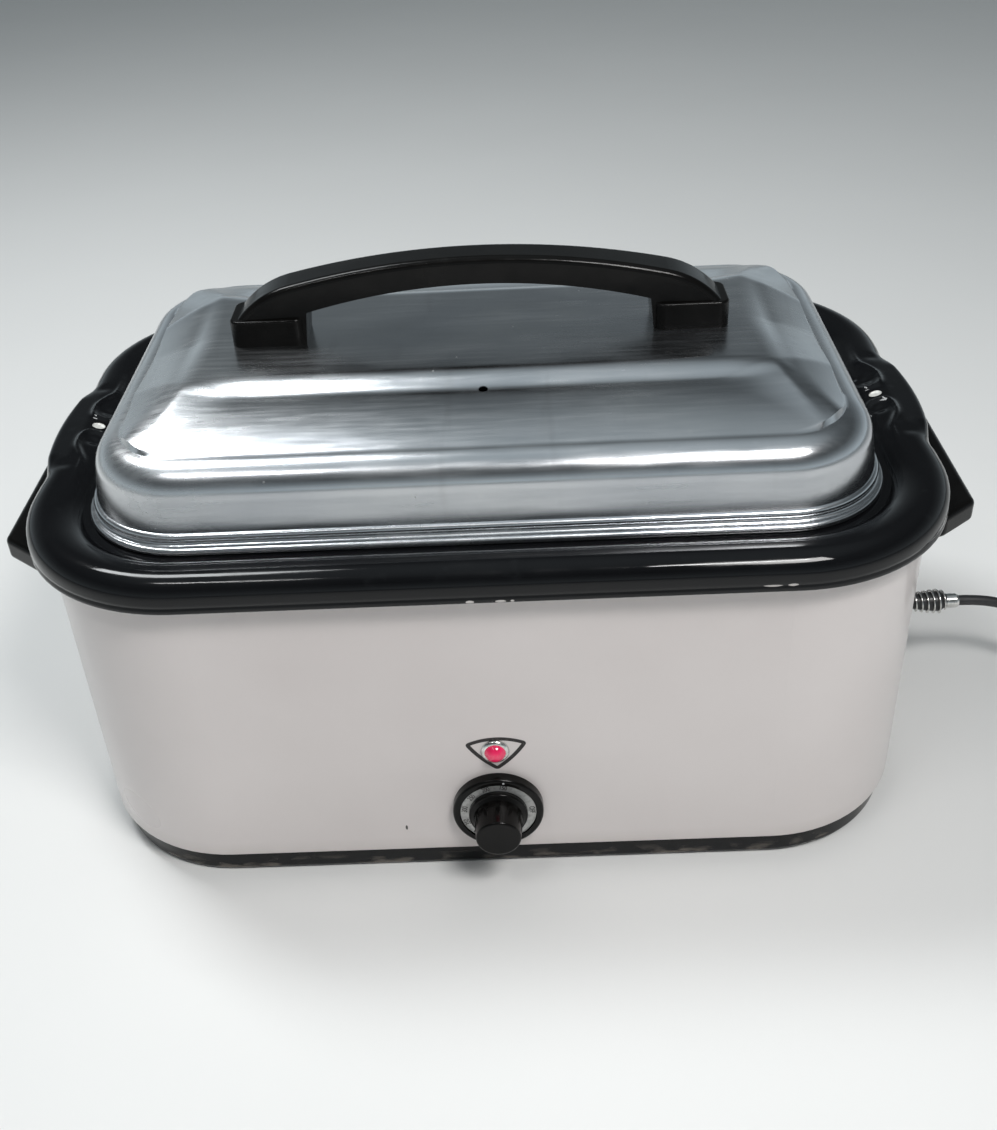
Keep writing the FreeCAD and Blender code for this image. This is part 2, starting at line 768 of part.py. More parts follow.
def make_base_pan():
    """The black pan under the casing, with a raised cup for each tie rod's nut."""
    body = new_body("BasePan")
    length = casing_length - 2 * base_inset
    width = casing_width - 2 * base_inset
    corner = casing_corner - base_inset
    outer = rounded_pad(body, "Dish", length, width, corner, 0, base_height)
    fillet_level(body, "DishRound", outer, 0, base_edge_round)
    hollow = cavity(
        "DishCavity",
        length - 2 * base_sheet,
        width - 2 * base_sheet,
        corner - base_sheet,
        base_sheet,
        base_height,
        base_edge_round - base_sheet,
    )
    inside = body.newObject("PartDesign::Boolean", "DishInside")
    inside.Type = "Cut"
    inside.setObjects([hollow])
    cups = new_sketch(body, "CupOutlines")
    hollows = new_sketch(body, "CupHollows")
    holes = new_sketch(body, "RodHoles")
    for x, y in rod_places():
        draw_circle(cups, x, y, cup_radius)
        draw_circle(hollows, x, y, cup_radius - base_sheet)
        draw_circle(holes, x, y, rod_radius + rod_clearance)
    pad(body, "Cups", cups, cup_height)
    pocket(body, "CupInsides", hollows, cup_height - base_sheet, reverse=True)
    pocket(body, "RodPiercing", holes, reverse=True)
    return keep(body, "base_pan")


def make_tie_rods():
    rods = []
    nuts = []
    sleeves = []
    nut_level = cup_height - base_sheet - nut_thickness
    bottom = nut_level - rod_end_gap
    reflector_top = reflector_level + reflector_sheet
    for index, (x, y) in enumerate(rod_places()):
        rods.append(cylinder(f"Rod{index}", rod_radius, well_floor_bottom - bottom, x, y, bottom))
        blank = hex_prism(f"NutBlank{index}", nut_flats, nut_thickness, x, y, nut_level)
        bore = cylinder(f"NutBore{index}", rod_radius, nut_thickness, x, y, nut_level)
        nuts.append(cut_away(f"Nut{index}", blank, bore))
        spans = ((cup_height, reflector_level), (reflector_top, well_floor_bottom))
        for step, (low, high) in enumerate(spans):
            outer = cylinder(f"SleeveOuter{index}{step}", sleeve_radius, high - low, x, y, low)
            bore = rod_radius + rod_clearance
            inner = cylinder(f"SleeveInner{index}{step}", bore, high - low, x, y, low)
            sleeves.append(cut_away(f"Sleeve{index}{step}", outer, inner))
    keep(group("TieRods", rods), "tie_rods")
    keep(group("TieRodNuts", nuts), "tie_rod_nuts")
    keep(group("SpacerSleeves", sleeves), "spacer_sleeves")


# ---------------------------------------------------------------- well, heaters and insulation

def make_heating_well():
    """The fixed liner: a tub whose flange lies on the casing's top hem."""
    body = new_body("HeatingWellBlank")
    height = well_top - well_floor_bottom
    tub = rounded_pad(body, "Tub", well_length, well_width, well_corner, well_floor_bottom, height)
    fillet_level(body, "TubRound", tub, well_floor_bottom, well_floor_round)
    rounded_pad(
        body,
        "Flange",
        casing_length - 2 * flange_setback,
        casing_width - 2 * flange_setback,
        casing_corner - flange_setback,
        well_top - well_sheet,
        well_sheet,
    )
    hollow = cavity(
        "WellCavity",
        well_length - 2 * well_sheet,
        well_width - 2 * well_sheet,
        well_corner - well_sheet,
        well_floor_bottom + well_sheet,
        height,
        well_floor_round - well_sheet,
    )
    return keep(cut_away("HeatingWell", body, hollow), "heating_well")


def make_side_heater():
    """A mica-wrapped band round the well, open at the back where its ends are drawn together."""
    body = new_body("SideHeater")
    inner = 2 * air_gap
    outer = inner + 2 * band_thickness
    outside = (well_length + outer, well_width + outer, well_corner + outer / 2)
    rounded_pad(body, "Band", *outside, band_level, band_height)
    rounded_hollow(
        body,
        "BandInside",
        well_length + inner,
        well_width + inner,
        well_corner + inner / 2,
        band_level,
    )
    gap_x = (-band_gap / 2, band_gap / 2)
    block(body, "BandGap", gap_x, (0, casing_front), band_level, band_height, cut=True)
    return keep(body, "side_heater")


def make_insulation():
    """The glass-fibre blanket, cut away behind the pilot light and over the power inlet."""
    body = new_body("InsulationBlanket")
    outer_inset = casing_sheet + air_gap
    inner_inset = outer_inset + blanket_thickness
    rounded_pad(
        body,
        "Blanket",
        casing_length - 2 * outer_inset,
        casing_width - 2 * outer_inset,
        casing_corner - outer_inset,
        blanket_level,
        blanket_top - blanket_level,
    )
    rounded_hollow(
        body,
        "BlanketInside",
        casing_length - 2 * inner_inset,
        casing_width - 2 * inner_inset,
        casing_corner - inner_inset,
        blanket_level,
    )
    window_half = 2 * push_nut_radius
    window_height = lamp_height + window_half - blanket_level
    window_x = (-window_half, window_half)
    block(body, "LampWindow", window_x, (-casing_front, 0), blanket_level, window_height, cut=True)
    return keep(body, "insulation_blanket")


def make_floor_heater():
    """A tubular element bent into one open loop under the well's floor, held up by three clips."""
    half_x = element_half_x.value
    half_y = element_half_y.value
    split = element_split.value / 2
    level = element_level.value
    element = tube(
        "FloorHeater",
        [
            (-split, -half_y, level),
            (-half_x, -half_y, level),
            (-half_x, half_y, level),
            (half_x, half_y, level),
            (half_x, -half_y, level),
            (split, -half_y, level),
        ],
        element_radius.value,
        bend=element_corner.value,
    )
    keep(element, "floor_heater")
    clips = []
    along_x = FACING_RIGHT
    along_y = FreeCAD.Rotation(Vector(1, 0, 0), -90)
    half_clip = element_clip_width / 2
    seats = (
        (-half_clip, element_half_y, along_x),
        (-element_half_x, -half_clip, along_y),
        (element_half_x, -half_clip, along_y),
    )
    for index, (x, y, facing) in enumerate(seats):
        sizes = (element_clip_width, x, y, element_level, facing)
        outer = cylinder(f"ElementClipOuter{index}", element_radius + element_drop, *sizes)
        inner = cylinder(f"ElementClipInner{index}", element_radius, *sizes)
        clips.append(cut_away(f"ElementClip{index}", outer, inner))
    keep(group("ElementClips", clips), "floor_heater_clips")


def make_reflector():
    body = new_body("ReflectorPlate")
    rounded_pad(
        body,
        "Plate",
        well_length - 2 * reflector_inset,
        well_width - 2 * reflector_inset,
        reflector_corner,
        reflector_level,
        reflector_sheet,
    )
    holes = new_sketch(body, "RodHoles", offset=reflector_level)
    for x, y in rod_places():
        draw_circle(holes, x, y, rod_radius + rod_clearance)
    pocket(body, "RodPiercing", holes, reverse=True)
    return keep(body, "reflector_plate")


make_outer_casing()
make_base_pan()
make_tie_rods()
make_heating_well()
make_side_heater()
make_insulation()
make_floor_heater()
make_reflector()


# ---------------------------------------------------------------- thermostat, dial and knob

# The pieces of this section are drawn about the dial's axis: their own +Z points out of the
# casing's front, and heights are measured from the casing's front face.

def place_on_dial(thing):
    return place(thing, 0, -casing_front, dial_height, FACING_FRONT)


def make_thermostat():
    body = new_body("ThermostatBody")
    back = -(casing_sheet + thermostat_depth)
    half_width = thermostat_width / 2
    half_height = thermostat_height / 2
    block(
        body,
        "Case",
        (-half_width, half_width),
        (-half_height, half_height),
        back,
        thermostat_depth,
    )
    doc.recompute()
    case = body.Tip
    uprights = [
        f"Edge{index}"
        for index, edge in enumerate(case.Shape.Edges, 1)
        if abs(edge.BoundBox.ZLength - thermostat_depth.value) < TOLERANCE
    ]
    fillet(body, "CaseRound", case, uprights, thermostat_round)
    neck = new_sketch(body, "NeckOutline", offset=-casing_sheet)
    draw_circle(neck, 0, 0, bushing_radius)
    neck_length = casing_sheet + bezel_floor + bushing_nut_thickness
    pad(body, "Neck", neck, neck_length)
    bore = new_sketch(body, "BoreOutline", offset=neck_length - casing_sheet)
    draw_circle(bore, 0, 0, shaft_radius + shaft_clearance)
    pocket(body, "Bore", bore, neck_length + thermostat_depth / 2)
    place_on_dial(body)
    keep(body, "thermostat_body")

    blank = hex_prism("BushingNutBlank", bushing_nut_flats, bushing_nut_thickness, 0, 0, bezel_floor)
    hole = cylinder("BushingNutBore", bushing_radius, bushing_nut_thickness, 0, 0, bezel_floor)
    keep(place_on_dial(cut_away("BushingNut", blank, hole)), "thermostat_nut")


def make_bezel():
    """The fixed black ring: a shallow dish whose raised lip stands round the number ring."""
    body = new_body("DialBezel")
    inner = bezel_radius - bezel_lip
    revolve(
        body,
        "Bezel",
        [
            (bushing_radius + hole_clearance, 0),
            (bezel_radius, 0),
            (bezel_radius, bezel_depth - bezel_round),
            (bezel_radius - bezel_round, bezel_depth),
            (inner, bezel_depth),
            (inner, bezel_floor),
            (bushing_radius + hole_clearance, bezel_floor),
        ],
        {2: bezel_round},
    )
    place_on_dial(body)
    return keep(body, "dial_bezel")


ring_back = bezel_floor + bushing_nut_thickness + dial_gap
ring_front = ring_back + ring_thickness
skirt_front = ring_front + skirt_depth
knob_front = ring_front + knob_depth
shaft_end = knob_front - skirt_depth


def make_number_ring():
    body = new_body("NumberRing")
    outer = bezel_radius - bezel_lip - ring_clearance
    revolve(
        body,
        "Ring",
        [
            (ring_inner_radius, ring_back),
            (outer, ring_back),
            (outer, ring_front),
            (ring_inner_radius, ring_front),
        ],
    )
    place_on_dial(body)
    return keep(body, "number_ring")


def make_knob():
    """A skirted knob with a fluted, slightly tapered grip and a bore for the shaft."""
    body = new_body("ControlKnob")
    edge = skirt_depth / 4
    tip = skirt_depth / 3
    revolve(
        body,
        "Turning",
        [
            (shaft_radius, ring_back),
            (ring_inner_radius, ring_back),
            (ring_inner_radius, ring_front),
            (skirt_radius, ring_front),
            (skirt_radius, skirt_front - 2 * edge),
            (skirt_radius - edge, skirt_front - edge),
            (grip_radius, skirt_front),
            (grip_tip_radius, knob_front - tip),
            (grip_tip_radius - tip, knob_front),
            (0, knob_front),
            (0, shaft_end),
            (shaft_radius, shaft_end),
        ],
        {4: edge, 7: tip},
    )
    flute = new_sketch(body, "FluteOutline", offset=knob_front)
    draw_circle(flute, grip_radius + flute_radius - flute_depth, 0, flute_radius)
    first = pocket(body, "Flute", flute, knob_front - skirt_front)
    flutes = body.newObject("PartDesign::PolarPattern", "Flutes")
    flutes.Originals = [first]
    flutes.Axis = (flute, ["N_Axis"])
    flutes.Angle = 360
    flutes.Occurrences = flute_count
    body.Tip = flutes
    grub = new_sketch(body, "GrubHole", "XZ_Plane")
    draw_circle(grub, 0, (skirt_front + knob_front) / 2, grub_radius)
    pocket(body, "GrubBore", grub, reverse=True)
    place_on_dial(body)
    keep(body, "control_knob")

    shaft = cylinder("ControlShaft", shaft_radius, shaft_end + thermostat_depth / 2 - casing_sheet)
    place(shaft, 0, -casing_front - shaft_end, dial_height, FreeCAD.Rotation(Vector(1, 0, 0), -90))
    keep(shaft, "control_shaft")

    grub_level = casing_front + (skirt_front + knob_front) / 2
    grub_foot = dial_height - shaft_radius - grub_length
    screw = cylinder("KnobGrubScrew", grub_radius, grub_length, 0, -grub_level, grub_foot)
    keep(screw, "knob_grub_screw")


def make_capillary():
    """The sensing bulb lies along the well's front wall and its fine tube runs to the thermostat."""
    bulb_x = -(bulb_start + bulb_length)
    bulb = cylinder("Bulb", bulb_radius, bulb_length, bulb_x, -bulb_front, bulb_level, FACING_RIGHT)
    keep(bulb, "thermostat_bulb")
    clips = []
    width = 2 * bulb_radius
    for index, share in enumerate((0.25, 0.75)):
        x = bulb_x + bulb_length * share - width / 2
        seat = (width, x, -bulb_front, bulb_level, FACING_RIGHT)
        outer = cylinder(f"ClipOuter{index}", clip_radius, *seat)
        inner = cylinder(f"ClipInner{index}", bulb_radius, *seat)
        clips.append(cut_away(f"Clip{index}", outer, inner))
    keep(group("BulbClips", clips), "bulb_clips")
    start_x = -bulb_start.value
    front = -bulb_front.value
    level = bulb_level.value
    inside_y = -(casing_front - casing_sheet - thermostat_depth / 2).value
    case_top = (dial_height + thermostat_height / 2).value
    capillary = tube(
        "Capillary",
        [
            (start_x, front, level),
            (start_x + 8, front, level),
            (start_x + 9, front, case_top + 9),
            (start_x + 20, inside_y + 3, case_top + 10),
            (start_x + 24, inside_y, case_top + 5),
            (start_x + 24, inside_y, case_top),
        ],
        capillary_radius.value,
    )
    keep(capillary, "capillary_tube")


make_thermostat()
make_bezel()
make_number_ring()
make_knob()
make_capillary()


# ---------------------------------------------------------------- pilot light

def place_on_lamp(thing):
    return place(thing, 0, -casing_front, lamp_height, FACING_FRONT)


def make_pilot_light():
    bezel = new_body("LensBezel")
    neck_radius = lens_radius + lens_neck_wall
    revolve(
        bezel,
        "BezelRing",
        [
            (lens_radius, -lens_neck_length),
            (neck_radius, -lens_neck_length),
            (neck_radius, 0),
            (lens_bezel_radius, 0),
            (lens_bezel_radius, lens_bezel_depth / 3),
            (lens_radius + lens_neck_wall / 2, lens_bezel_depth),
            (lens_radius, lens_bezel_depth),
        ],
        {4: lens_bezel_depth},
    )
    keep(place_on_lamp(bezel), "lens_bezel")

    lens = new_body("JewelLens")
    dome_radius = (lens_radius * lens_radius + lens_dome * lens_dome) / (2 * lens_dome)
    revolve(
        lens,
        "Jewel",
        [
            (0, -lens_neck_length / 2),
            (lens_radius, -lens_neck_length / 2),
            (lens_radius, lens_bezel_depth),
            (0, lens_bezel_depth + lens_dome),
        ],
        {2: dome_radius},
    )
    keep(place_on_lamp(lens), "jewel_lens")

    nut = new_body("LensPushNut")
    revolve(
        nut,
        "PushNut",
        [
            (neck_radius, -casing_sheet - push_nut_thickness),
            (push_nut_radius, -casing_sheet - push_nut_thickness),
            (push_nut_radius, -casing_sheet),
            (neck_radius, -casing_sheet),
        ],
    )
    keep(place_on_lamp(nut), "lens_push_nut")

    holder = new_body("LampHolder")
    back = -lens_neck_length - lamp_length - holder_wall
    outer = lamp_radius + holder_wall
    revolve(
        holder,
        "Cup",
        [
            (0, back),
            (outer, back),
            (outer, -lens_neck_length - holder_wall),
            (neck_radius, -lens_neck_length - holder_wall),
            (neck_radius, -lens_neck_length),
            (lamp_radius, -lens_neck_length),
            (lamp_radius, back + holder_wall),
            (0, back + holder_wall),
        ],
    )
    keep(place_on_lamp(holder), "lamp_holder")

    lamp = new_body("PilotLamp")
    revolve(
        lamp,
        "Bulb",
        [
            (0, back + holder_wall),
            (lamp_radius, back + holder_wall),
            (lamp_radius, -lens_neck_length - lamp_radius),
            (0, -lens_neck_length),
        ],
        {2: lamp_radius},
    )
    keep(place_on_lamp(lamp), "pilot_lamp")


make_pilot_light()


# ---------------------------------------------------------------- side handles

def make_side_handle(side, node):
    """A moulded wing: a bevelled plan, seated on the casing's round corners, with a finger recess
    moulded into its underside."""
    body = new_body("RightHandle" if side > 0 else "LeftHandle")
    outline = new_sketch(body, "WingOutline", offset=handle_level)
    inner_x = casing_right - handle_end_step
    step_x = casing_right + handle_end_step
    outer_x = casing_right + handle_reach
    points = [
        (inner_x, -handle_inner_half),
        (step_x, -handle_inner_half),
        (outer_x, -handle_outer_half),
        (outer_x, handle_outer_half),
        (step_x, handle_inner_half),
        (inner_x, handle_inner_half),
    ]
    if side < 0:
        points = [(-x, y) for x, y in reversed(points)]
    draw_outline(outline, points)
    wing = pad(body, "Wing", outline, handle_thickness)
    doc.recompute()
    corners = []
    for index, edge in enumerate(wing.Shape.Edges, 1):
        box = edge.BoundBox
        upright = abs(box.ZLength - handle_thickness.value) < TOLERANCE
        if upright and max(abs(box.XMin), abs(box.XMax)) > casing_right.value:
            corners.append(f"Edge{index}")
    rounded = fillet(body, "WingCorners", wing, corners, handle_corner)
    doc.recompute()
    rim = []
    for index, edge in enumerate(rounded.Shape.Edges, 1):
        box = edge.BoundBox
        level = abs(box.ZLength) < TOLERANCE
        against_wall = max(abs(box.XMin), abs(box.XMax)) < inner_x.value + TOLERANCE
        if level and not against_wall:
            rim.append(f"Edge{index}")
    fillet(body, "WingEdges", rounded, rim, handle_edge_round)
    low = side * (casing_right + recess_start)
    high = side * (casing_right + recess_end)
    if side < 0:
        low, high = high, low
    recess_half = handle_outer_half - recess_inset
    recess_y = (-recess_half, recess_half)
    block(body, "FingerRecess", (low, high), recess_y, handle_level, recess_depth, cut=True)
    holes = new_sketch(body, "BoltHoles", "YZ_Plane", offset=side * casing_right)
    for half in (-1, 1):
        draw_circle(holes, half * handle_bolt_half, handle_bolt_level, handle_bolt_radius)
    pocket(body, "BoltBores", holes, handle_bolt_depth, reverse=side > 0)
    nest = new_body("RightNest" if side > 0 else "LeftNest")
    rounded_pad(nest, f"{nest.Name}Block", casing_length, casing_width, casing_corner, 0, rim_lip_level)
    return keep(cut_away("RightWing" if side > 0 else "LeftWing", body, nest), node)


def make_handle_fasteners():
    bolts = []
    nuts = []
    inner_face = casing_right - casing_sheet
    inner_end = inner_face - handle_nut_thickness - handle_bolt_stick
    length = casing_right + handle_bolt_depth - inner_end
    for index, (side, half) in enumerate(((-1, -1), (-1, 1), (1, -1), (1, 1))):
        y = half * handle_bolt_half
        facing = FACING_RIGHT if side > 0 else FACING_LEFT
        seat = (side * inner_end, y, handle_bolt_level, facing)
        bolts.append(cylinder(f"HandleBolt{index}", handle_bolt_radius, length, *seat))
        start = side * (inner_face - handle_nut_thickness)
        seat = (handle_nut_thickness, start, y, handle_bolt_level, facing)
        blank = hex_prism(f"HandleNutBlank{index}", handle_nut_flats, *seat)
        bore = cylinder(f"HandleNutBore{index}", handle_bolt_radius, *seat)
        nuts.append(cut_away(f"HandleNut{index}", blank, bore))
    keep(group("HandleBolts", bolts), "side_handle_bolts")
    keep(group("HandleNuts", nuts), "side_handle_nuts")


make_side_handle(1, "right_side_handle")
make_side_handle(-1, "left_side_handle")
make_handle_fasteners()


# ---------------------------------------------------------------- power inlet and leads

def make_inlet():
    """A moulded socket cup let into the right end, with two fixed pins."""
    body = new_body("InletSocket")

    def rectangle(name, half_width, half_height, offset):
        sketch = new_sketch(body, name, "YZ_Plane", offset=offset)
        low = inlet_height - half_height
        high = inlet_height + half_height
        corners = [(-half_width, low), (half_width, low), (half_width, high), (-half_width, high)]
        draw_outline(sketch, corners)
        return sketch

    back = socket_back - socket_wall
    cup_half_width = socket_half_width + socket_wall
    cup = rectangle("CupOutline", cup_half_width, socket_half_height + socket_wall, back)
    pad(body, "Cup", cup, inlet_mouth - back)
    flange_size = (socket_flange_half_width, socket_flange_half_height)
    flange = rectangle("FlangeOutline", *flange_size, casing_right)
    pad(body, "Flange", flange, socket_flange)
    mouth = rectangle("MouthOutline", socket_half_width, socket_half_height, inlet_mouth)
    pocket(body, "Mouth", mouth, socket_depth)
    holes = new_sketch(body, "PinHoles", "YZ_Plane", offset=back)
    for half in (-1, 1):
        draw_circle(holes, half * pin_spacing / 2, inlet_height, pin_radius)
    pocket(body, "PinBores", holes, socket_wall, reverse=True)
    keep(body, "inlet_socket")

    pins = []
    start = back - pin_tail
    for half in (-1, 1):
        pins.append(
            cylinder(
                f"InletPin{half + 1}",
                pin_radius,
                pin_tail + socket_wall + pin_length,
                start,
                half * pin_spacing / 2,
                inlet_height,
                FACING_RIGHT,
            )
        )
    keep(group("InletPins", pins), "inlet_pins")


def make_leads():
    """Insulated leads from the inlet pins, and from the thermostat to the floor heater's ends."""
    pin_end = (socket_back - socket_wall - pin_tail).value
    level = inlet_height.value
    low = (cup_height + lead_clearance).value
    thermostat_foot = (dial_height - thermostat_height / 2).value
    terminal_y = -(casing_front - casing_sheet - thermostat_depth / 2).value
    half_pins = pin_spacing.value / 2
    supply = []
    for half in (-1, 1):
        y = half * half_pins
        down = pin_end - 8
        end_x = 8 + 4 * half
        supply.append(
            tube(
                f"SupplyLead{half + 1}",
                [
                    (pin_end, y, level),
                    (down, y, level),
                    (down - 4, y, low + 6),
                    (down - 22, y - 8, low),
                    (end_x + 60, terminal_y + 20, low),
                    (end_x, terminal_y, low),
                    (end_x, terminal_y, thermostat_foot),
                ],
                lead_radius.value,
            )
        )
    keep(group("SupplyLeads", supply), "supply_leads")
    start_level = element_level.value
    element_front = -element_half_y.value
    back_face = -(casing_front - casing_sheet - thermostat_depth).value
    terminal_level = (dial_height + lead_terminal_rise).value
    heater = []
    for half in (-1, 1):
        x = half * (element_split.value / 2)
        heater.append(
            tube(
                f"HeaterLead{half + 1}",
                [
                    (x, element_front, start_level),
                    (x - half * 9, element_front, start_level),
                    (x - half * 10, element_front - 16, start_level - 2),
                    (x - half * 9, back_face + 24, start_level - 4),
                    (x - half * 9, back_face, terminal_level),
                ],
                lead_radius.value,
            )
        )
    keep(group("HeaterLeads", heater), "heater_leads")


make_inlet()
make_leads()


# ---------------------------------------------------------------- inset pan

def rim_path(body, name):
    """The rim's plan outline at its outer lip, starting on the frame's XZ plane at the right end."""
    sketch = new_sketch(body, name)
    draw_rounded(sketch, rim_length, rim_width, rim_corner)
    return sketch


def lug_outline(sketch, side, root, inset):
    """The lug's plan: a shallow lobe beyond the rim's lip, with a hollow curve at each end."""
    lip = rim_length / 2
    tip = lip + lug_reach - lug_bow - inset
    flank = lip - 2 * lug_bow - inset
    half = lug_half_span - inset
    shoulder = lug_half_span - 4 * lug_bow - inset / 2
    bow_radius = (shoulder * shoulder + lug_bow * lug_bow) / (2 * lug_bow)
    near = [(root, -half), (flank, -half), (tip, -shoulder)]
    points = near + [(x, -y) for x, y in reversed(near)]
    hollow = 4 * lug_bow + inset
    if side < 0:
        points = [(-x, -y) for x, y in points]
    draw_outline(sketch, points, {1: -hollow, 2: bow_radius, 3: -hollow})


def add_lug(body, side):
    """A lifting lug: the skirt is cut away, and a flanged, pierced lobe reaches out."""
    tag = "Right" if side > 0 else "Left"
    lip = rim_length / 2
    root = lip - rim_roll - pan_outer_inset / 8
    top = rim_crest - lug_sink
    low_x = side * (lip - rim_roll / 2)
    high_x = side * (lip + lug_reach)
    if side < 0:
        low_x, high_x = high_x, low_x
    reach = lug_half_span - 4 * lug_bow
    skirt = (rim_lip_level, top - rim_lip_level)
    block(body, f"{tag}SkirtCut", (low_x, high_x), (-reach, reach), *skirt, cut=True)
    lobe = new_sketch(body, f"{tag}LobeOutline", offset=top - lug_drop)
    lug_outline(lobe, side, root, 0)
    pad(body, f"{tag}Lobe", lobe, lug_drop)
    under = new_sketch(body, f"{tag}UnderOutline", offset=top - lug_drop)
    lug_outline(under, side, root - pan_sheet, pan_sheet)
    pocket(body, f"{tag}Under", under, lug_drop - pan_sheet, reverse=True)
    holes = new_sketch(body, f"{tag}LugHoleOutline", offset=rim_crest)
    draw_circle(holes, side * (lip - lug_hole_inset), 0, lug_hole)
    pocket(body, f"{tag}LugHole", holes, 2 * lug_drop)


def make_curls():
    """Scrolled ridges, two on each lug: each turns back on itself inside the lobe and its tail
    runs out along the rim. They follow the rim's back, which falls from its crest to the ledge."""
    lip = rim_length.value / 2
    back_radius = rim_back_radius.value
    outline = (
        (curl_inset + curl_width, curl_inner_end),
        (curl_inset + curl_width, curl_near),
        (curl_inset, curl_near),
        (curl_inset, curl_outer_end),
        (curl_neck_inset, curl_neck),
        (curl_neck_inset, curl_tail),
    )
    curls = []
    for side in (-1, 1):
        for half in (-1, 1):
            points = []
            for inset, along in outline:
                reach = (inset - rim_roll).value
                fall = back_radius - math.sqrt(back_radius**2 - reach**2)
                level = (rim_crest + curl_lift).value - fall
                points.append((side * (lip - inset.value), half * along.value, level))
            curls.append(tube(f"Curl{side + 1}{half + 1}", points, curl_ridge.value))
    return curls


def make_inset_pan():
    """The enamelled pan: a deep tub that hangs by a rolled rim with a lifting lug at each end."""
    body = new_body("InsetPanBlank")
    lip = rim_length / 2
    sheet_gap = pan_sheet
    roll_base = rim_lip_level + rim_lip_rise
    inner_back = rim_back_radius - sheet_gap
    path = rim_path(body, "RimPath")
    profile = new_sketch(body, "RimProfile", "XZ_Plane")
    under_x = lip - rim_shoulder + sheet_gap * 0.8
    draw_outline(
        profile,
        [
            (lip, rim_lip_level),
            (lip, roll_base),
            (lip - rim_roll, rim_crest),
            (lip - rim_shoulder, ledge_level),
            (lip - ledge_end, ledge_level),
            (lip - pan_outer_inset - sheet_gap, ledge_level - pan_bend - sheet_gap),
            (lip - pan_outer_inset, ledge_level - pan_bend - sheet_gap),
            (lip - ledge_end, ledge_level - sheet_gap),
            (under_x, ledge_level - sheet_gap),
            (lip - rim_roll, rim_crest - sheet_gap),
            (lip - sheet_gap, roll_base),
            (lip - sheet_gap, rim_lip_level),
        ],
        {
            1: rim_roll,
            2: rim_back_radius,
            4: pan_bend + sheet_gap,
            6: -pan_bend,
            8: -inner_back,
            9: -(rim_roll - sheet_gap),
        },
    )
    sweep = body.newObject("PartDesign::AdditivePipe", "Rim")
    sweep.Profile = profile
    sweep.Spine = path
    sweep.Mode = "Standard"
    tub_top = ledge_level - pan_bend - sheet_gap
    length = rim_length - 2 * pan_outer_inset
    width = rim_width - 2 * pan_outer_inset
    corner = rim_corner - pan_outer_inset
    rounded_pad(body, "Tub", length, width, corner, pan_floor_bottom, tub_top - pan_floor_bottom)
    fillet_level(body, "TubRound", body.Tip, pan_floor_bottom, pan_floor_round)
    for side in (-1, 1):
        add_lug(body, side)
    hollow = cavity(
        "PanCavity",
        length - 2 * sheet_gap,
        width - 2 * sheet_gap,
        corner - sheet_gap,
        pan_floor_bottom + sheet_gap,
        tub_top - pan_floor_bottom,
        pan_floor_round - sheet_gap,
    )
    pan = cut_away("HollowPan", body, hollow)
    return keep(fuse("InsetPan", [pan, *make_curls()]), "inset_pan")


make_inset_pan()


# ---------------------------------------------------------------- lid

def loft(body, name, low, high, cut=False):
    """Lofts between two rounded rectangles, each given as length, width, corner and level."""
    sketches = []
    for index, (length, width, corner, level) in enumerate((low, high)):
        sketch = new_sketch(body, f"{name}Section{index}", offset=level)
        draw_rounded(sketch, length, width, corner)
        sketches.append(sketch)
    feature = body.newObject("PartDesign::SubtractiveLoft" if cut else "PartDesign::AdditiveLoft", name)
    feature.Profile = sketches[0]
    feature.Sections = [sketches[1]]
    feature.Ruled = True
    return feature


